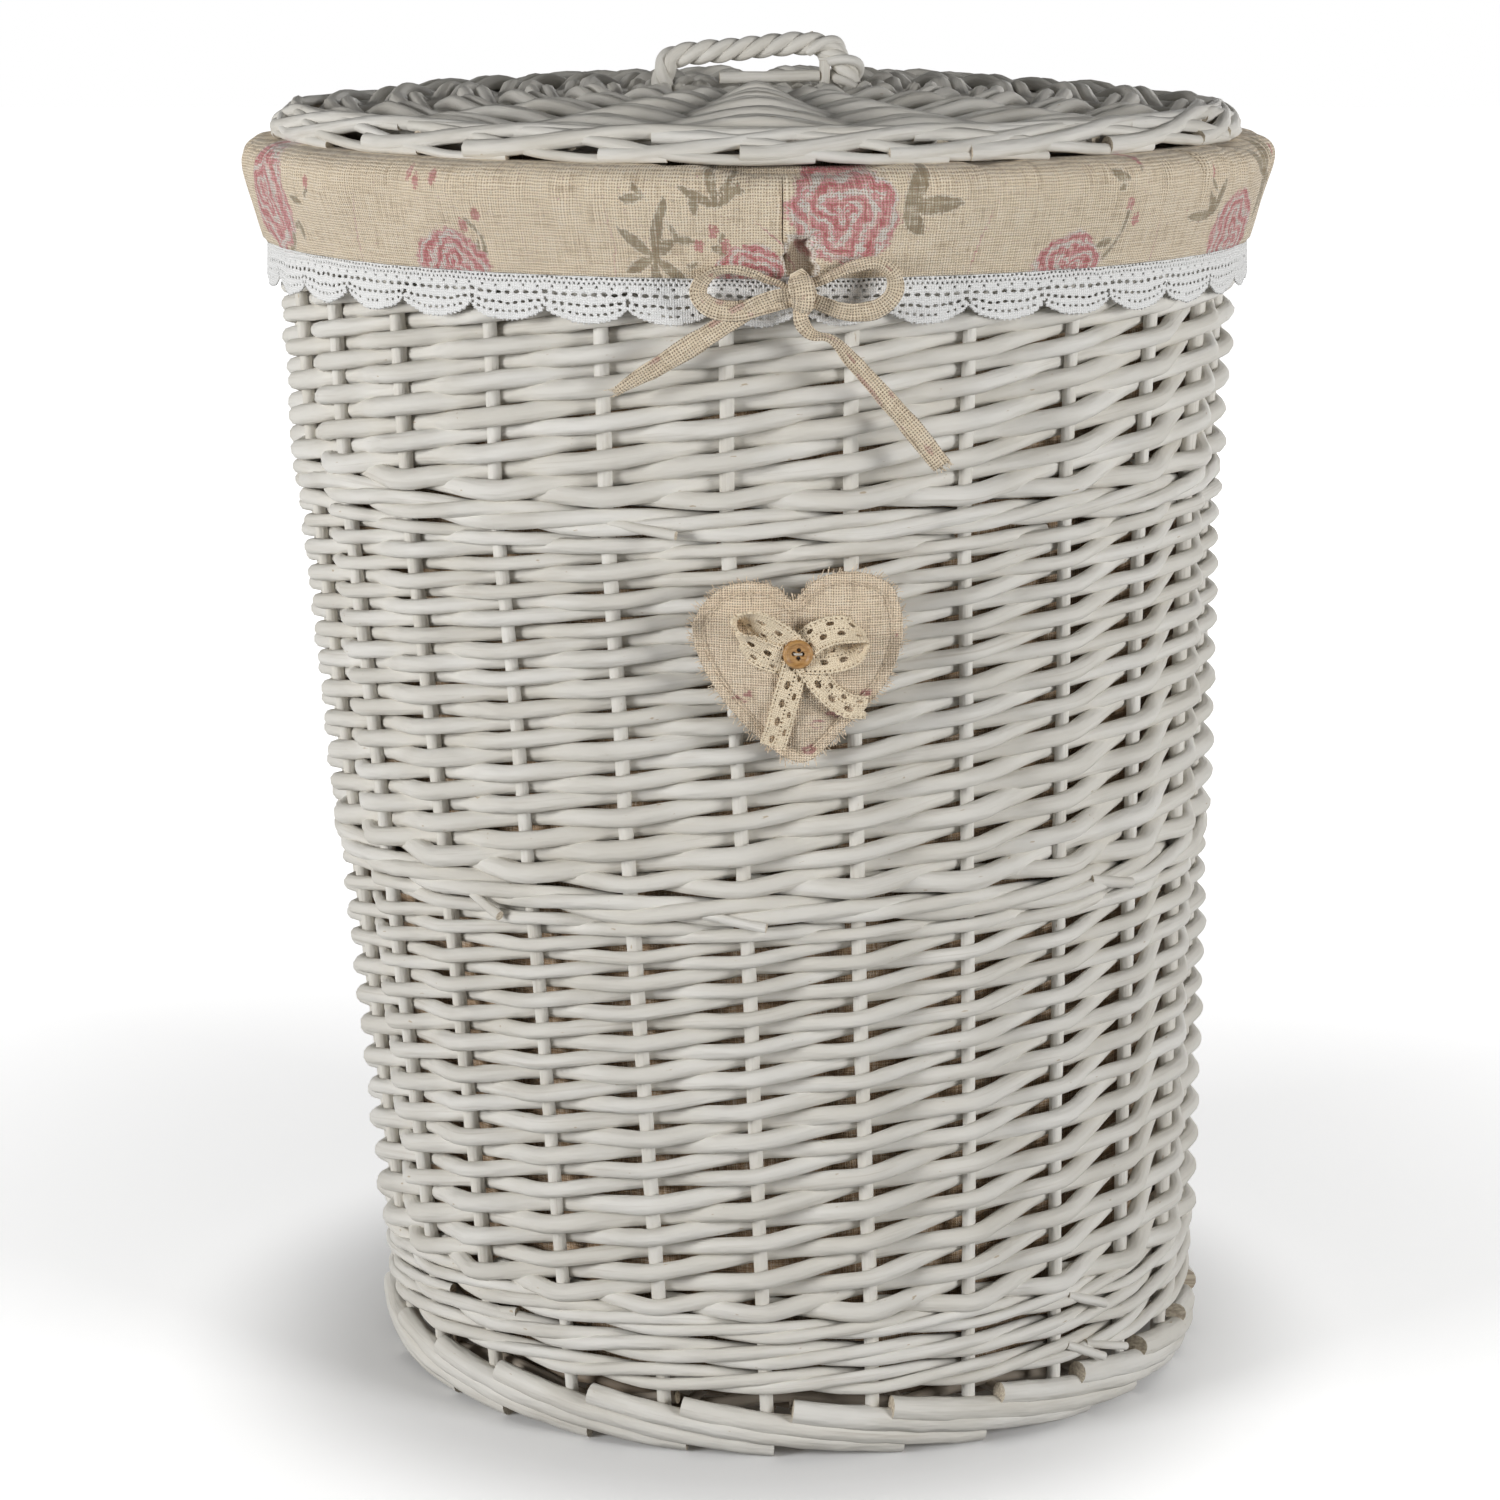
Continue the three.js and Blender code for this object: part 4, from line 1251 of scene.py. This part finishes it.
def bow():
    """The drawstring tied in a bow over the slit: two loops, two tails and the knot that holds them."""
    for seed, (name, tape) in enumerate(TAPES.items(), 51):
        tape_cord(name, *tape, seed)
    bundle = Bundle()
    lay_tape(bundle, KNOT_WRAP, [4.0, 4.6, 5.3, 5.0, 3.8, 3.0], [0, 0, 5, -5, 0, 0], 55)
    points, quads, poles = knot_lump()
    bundle.add(points, quads, poles, points - points[0], 0.0, 0.0)
    bundle.build("tie_knot_tape", tape_linen, "liner", ["tie_knot"], "tape")


# ---------------------------------------------------------------- heart


def on_heart(x, z, out):
    """Points from the heart's own plane (mm across, mm up, mm in front of its middle) to the basket."""
    tilt = np.arctan(FLARE * DEPTH)
    x, z, out = np.broadcast_arrays(x, z, out)
    y = -out * np.cos(tilt) - z * np.sin(tilt)
    up = z * np.cos(tilt) - out * np.sin(tilt)
    return np.stack([HEART_X + x * MM, HEART_Y + y * MM, HEART_Z + up * MM], -1)


def heart_puff(far):
    """Half thickness at a distance from the edge: a flat border, a stitched line, a stuffed middle."""
    stuffed = 3.7 * smoothstep(4.5, 22, far) ** 0.75 + 0.6 * smoothstep(5.0, 7.0, far)
    return 0.75 + stuffed - 0.35 * ridge(far, HEART_STITCH_IN, 0.6)


def heart_marks(x, z):
    """Strength of the faded pink marks on the heart."""
    marks = np.zeros(x.shape)
    for at_x, at_z, size in HEART_MARKS:
        far = np.hypot((x - at_x) / size, (z - at_z) / size * 1.4)
        marks = np.maximum(marks, smoothstep(1, 0.3, far))
    return marks * smoothstep(-0.7, 0.5, noise(x / 3, z / 1.6, 65))


def heart():
    """The stuffed heart: a front and a back of linen, sewn together inside their frayed edge."""
    steps = np.arange(HEART_STEPS)
    outline = spline(HEART_OUTLINE, HEART_STEPS + 1, closed=True)[:-1]
    outline = outline * (1 + 0.006 * noise(steps / 2.2, 0, 61))[:, None]
    share = np.linspace(0, 1, HEART_RINGS + 1)[1:] ** 0.8
    flat = share[:, None, None] * outline[None]
    x, z = flat[..., 0], flat[..., 1]
    far = np.min(np.linalg.norm(flat[:, :, None] - outline[None, None], axis=-1), axis=-1)
    creases = 0.55 * noise(x / 11, z / 11, 62) + 0.3 * noise(x / 4.5, z / 4.5, 63)
    ruffle = 0.7 * noise(steps[None] / 4.5, far / 3, 64) * smoothstep(6, 0, far)
    marks = np.append(0.0, heart_marks(x, z))
    # Painted shade along the stitched groove inside the border.
    seam = np.append(0.0, 0.25 * ridge(far, HEART_STITCH_IN, 0.7))
    quads = 1 + grid_quads(HEART_RINGS, HEART_STEPS, True)[..., [0, 3, 2, 1]].reshape(-1, 4)
    tris = np.stack([0 * steps, steps + 1, (steps + 1) % HEART_STEPS + 1], -1)
    bundle = Bundle()
    rims = []
    for way in (1, -1):
        out = way * heart_puff(far) + ruffle + creases * smoothstep(3, 8, far) * (way > 0)
        points = np.concatenate([on_heart(0.0, 0.0, way * 5.0)[None], on_heart(x, z, out).reshape(-1, 3)])
        grain = np.stack([points[:, 0], points[:, 2], 0 * points[:, 0]], -1)
        bundle.add(points, quads[:, ::way], tris[:, ::way], grain, marks, seam)
        rims.append(bundle.count - HEART_STEPS + steps)
    front, back = rims
    bundle.quads.append(np.stack([front, back, np.roll(back, -1), np.roll(front, -1)], -1))
    heart_fray(bundle, outline)
    obj = bundle.build("heart_pad_cloth", heart_linen, "basket", ["heart_pad"], "heart_linen")
    heart_stitches(outline)


def heart_fray(bundle, outline):
    """Loose threads all round the heart's edge."""
    picks = rng.integers(0, HEART_STEPS, HEART_THREADS)
    starts = on_heart(outline[picks, 0], outline[picks, 1], rng.uniform(-0.6, 0.6, HEART_THREADS))
    ways = unit(outline)[picks]
    ways = np.stack([ways[:, 0], rng.normal(0, 0.2, HEART_THREADS), ways[:, 1]], -1)
    fray(bundle, starts, ways, 2.2 * MM, 0.17 * MM)


def heart_stitches(outline):
    """The line of running stitches inside the heart's frayed border."""
    bundle = Bundle()
    inner = outline - HEART_STITCH_IN * unit(outline)
    length = distances(inner)
    for start in np.arange(0, length[-1] - 3, 3.4):
        x, z = between(np.linspace(start, start + 2.3, 6), length, inner).T
        out = 1.15 + 0.3 * np.sin(np.linspace(0, np.pi, 6))
        bundle.tube(on_heart(x, z, out), 0.2 * MM, 6, 0.0, BACK)
    bundle.build("heart_stitches", heart_linen, "basket", (), "heart_linen")


def ribbon_solid(half):
    """How far a point is inside the threads of a ribbon of that half width."""

    def solid(u, v):
        edge = half - np.abs(v) + 0.45 * np.abs(np.sin(np.pi * u / 2.6)) - 0.45
        holes = row_of_holes(u, v, 0.22 * half, 8.4, 2.0, 1.15, 0.2)
        holes = np.minimum(holes, row_of_holes(u, v, -0.5 * half, 8.4, 1.6, 0.9, 0.7))
        for row in (-0.78, -0.12, 0.78):
            holes = np.minimum(holes, row_of_holes(u, v, row * half, 1.9, 0.4, 0.35, row))
        return np.minimum(edge, holes)

    return solid


def crochet_ribbon(name, half, rolls, route):
    """A strip of cream crochet along a route in the heart's own millimetres (across, up, in front)."""
    route = np.array(route, float)
    seed = 3 * len(name)
    long = length_of(spline(route, 200))
    step = 0.38
    v, u = np.meshgrid(np.arange(-half - 0.4, half + 0.5, step), np.arange(0, long, step), indexing="ij")
    u, v, keep = pierced(u, v, ribbon_solid(half), step)
    path = on_heart(*spline(route, 400).T)
    t = np.linspace(0, 1, 400)
    _, wide, thin = tape_frame(path, spread_over(t, rolls))
    along = np.clip(u / long, 0, 1)
    middle, across, through = [between(along, t, values) for values in (path, wide, thin)]
    wave = 0.5 * noise(u / 5, v / 4, seed) + 0.25 * noise(u / 2, v / 2, seed + 1)
    points = middle + (v * MM)[..., None] * across + (wave * MM)[..., None] * through
    obj = grid_object(name + "_crochet", points, cream_cotton, keep=keep)
    put_vector(obj, "grain", np.stack([u, v, 0 * u], -1).reshape(-1, 3) * MM)
    thicken(obj, 0.9 * MM, 0)
    place(obj, "basket", [name])


def heart_bow():
    for name, ribbon in HEART_RIBBONS.items():
        crochet_ribbon(name, *ribbon)


def heart_button():
    """A turned wooden button with a raised rim, four holes and a stitch of white thread."""
    profile = spline(BUTTON_PROFILE, 40)
    theta = np.linspace(0, TURN, 72, endpoint=False)
    x = BUTTON_X + profile[:, :1] * np.cos(theta)
    z = BUTTON_Z + profile[:, :1] * np.sin(theta)
    dent = np.zeros_like(x)
    for hole_x, hole_z in BUTTON_HOLES:
        far = np.hypot(x - BUTTON_X - hole_x, z - BUTTON_Z - hole_z)
        dent = dent + BUTTON_HOLE_DEPTH * smoothstep(1.05, 0.7, far)
    front = (profile[:, 1:] > 1.0) * np.minimum(dent, BUTTON_HOLE_DEPTH)
    points = on_heart(x, z, BUTTON_OUT + profile[:, 1:] - front)
    obj = grid_object("heart_button_turned", points, button_wood, around=True)
    # Painted shade in the holes, by their depth.
    put_float(obj, "cut_ends_and_shade", (np.broadcast_to(front, x.shape) / BUTTON_HOLE_DEPTH).ravel())
    place(obj, "basket", ["heart_button"])
    bundle = Bundle()
    left, right = BUTTON_HOLES[0], BUTTON_HOLES[2]
    t = np.linspace(0, 1, 8)
    for side in (-0.25, 0.25):
        x = BUTTON_X + left[0] + (right[0] - left[0]) * t
        path = on_heart(x, BUTTON_Z + left[1] + side, BUTTON_OUT + 1.4 + 0.6 * np.sin(np.pi * t))
        bundle.tube(path, 0.27 * MM, sides=8, up=BACK)
    bundle.build("heart_button_thread", white_thread, "basket", (), "cream_lace")


# ---------------------------------------------------------------- light and camera


def camera():
    data = bpy.data.cameras.new("camera")
    data.lens = CAMERA_LENS
    data.sensor_width = 36
    obj = new_object("camera", data)
    obj.location = CAMERA_AT
    obj.rotation_euler = (np.radians(90 - CAMERA_PITCH), 0, 0)
    bpy.context.scene.camera = obj


def area_light(name, at, aim, size, power, colour=(1, 1, 1)):
    data = bpy.data.lights.new(name, "AREA")
    data.shape = "RECTANGLE"
    data.size, data.size_y = size
    data.energy = power
    data.color = colour
    obj = new_object(name, data)
    obj.location = at
    obj.rotation_euler = (Vector(aim) - Vector(at)).to_track_quat("-Z", "Y").to_euler()


def studio():
    """A pale floor that fades into white, and three soft lamps."""
    n = Surface("studio_floor", 0.9)
    at = n.node("ShaderNodeTexCoord").outputs["Object"]
    spots = n.noise(at, 3.0)
    floor_material = n.finish(n.mix(n.range(spots, 0.3, 0.7), rgb(0.95, 0.95, 0.95), rgb(0.96, 0.96, 0.96)))
    n.set("Emission Color", (1, 1, 1, 1))
    spread = n.length(at)
    near = n.range(spread, 0.17, 0.30, 0.0, 0.48)
    n.set("Emission Strength", n.plus(near, n.range(spread, 0.3, 1.3, 0.0, 0.6)))
    corners = FLOOR_HALF * np.array([[-1, -1, 0], [1, -1, 0], [1, 1, 0], [-1, 1, 0]], float)
    floor = mesh_object("studio_floor", corners, [[0, 1, 2, 3]], np.zeros((0, 3), int), floor_material)
    floor.visible_diffuse = False
    studio_world()
    area_light("key", (-1.9, -1.25, 0.74), (0, 0, 0.45), (0.9, 0.7), 36)
    area_light("fill", (1.75, -1.35, 0.77), (0, 0, 0.45), (0.7, 0.7), 28)
    area_light("back", (1.2, 3.0, 0.9), (0, 0, 0.3), (2.0, 1.5), 26)
    bpy.context.scene.view_settings.view_transform = "Standard"


def studio_world():
    """An even sky that is dim overhead, and seen as white behind the object."""
    world = bpy.data.worlds.new("studio")
    n = Nodes(world)
    up = n.split(n.node("ShaderNodeTexCoord").outputs["Generated"])[2]
    limits = {"Value": up, "From Min": 0.1, "From Max": 0.8, "To Min": 0.2, "To Max": 0.10}
    dim = n.node("ShaderNodeMapRange", limits).outputs[0]
    seen = n.node("ShaderNodeLightPath").outputs["Is Camera Ray"]
    background = n.tree.nodes["Background"]
    n.feed(background.inputs["Color"], (1, 1, 1, 1))
    n.feed(background.inputs["Strength"], n.maths("MAXIMUM", dim, seen))
    bpy.context.scene.world = world


camera()
studio()

willow = painted_willow("painted_willow", rgb(0.885, 0.875, 0.85), rgb(0.835, 0.82, 0.785))
# Painted shade: a slightly darker copy of the painted willow for the lid, whose top lies in shade.
shaded_lid_willow = painted_willow("painted_willow_lid_shaded", rgb(0.865, 0.855, 0.83), rgb(0.80, 0.785, 0.75))
# Painted shade: a darker copy of the painted willow for the base, which lies in shade under the basket.
shaded_base_willow = painted_willow("painted_willow_base_shaded", rgb(0.54, 0.48, 0.41), rgb(0.40, 0.34, 0.27))
cuff_linen = linen(
    "printed_linen", rgb(0.945, 0.88, 0.775), rgb(0.56, 0.46, 0.34), shade_between_threads=0.95, printed=True
)
bag_linen = linen("bag_linen", rgb(0.74, 0.62, 0.49), rgb(0.42, 0.32, 0.23))
tape_linen = linen(
    "tape_linen", rgb(0.93, 0.86, 0.75), rgb(0.40, 0.31, 0.21), pitch=1.25 * MM, shade_between_threads=1.0, stain=0.5
)
lace_cotton = crochet("lace_cotton", rgb(0.98, 0.98, 0.975), rgb(0.80, 0.80, 0.79), 1.1 * MM)
cream_cotton = crochet("cream_cotton", rgb(0.97, 0.91, 0.80), rgb(0.72, 0.60, 0.44), 1.0 * MM)
heart_linen = linen(
    "heart_linen", rgb(0.97, 0.89, 0.78), rgb(0.43, 0.33, 0.22), pitch=1.1 * MM, shade_between_threads=0.95, stain=0.8
)
button_wood = turned_wood()
white_thread = linen("white_thread", rgb(0.92, 0.90, 0.86), rgb(0.74, 0.70, 0.64), pitch=0.4 * MM)

bow()

for node, bottom, top, rows in PANELS:
    randed_panel(node, bottom, top, rows)
for node, heights, radius, strays in WALES:
    wale(node, heights, radius, strays)
stakes()
foot_border()
base_weave()
crossed_sticks("base_stick", "basket", BASE_STICK_LONG, BASE_STICK_Z, float(lean(0.0)), shaded_base_willow)
lid_weave()
crossed_sticks("lid_stick", "lid", LID_STICK_LONG, LID_STICK_Z, 0.0, shaded_lid_willow)
lid_border()
handle()
cuff()
bag()
heart()
heart_bow()
heart_button()
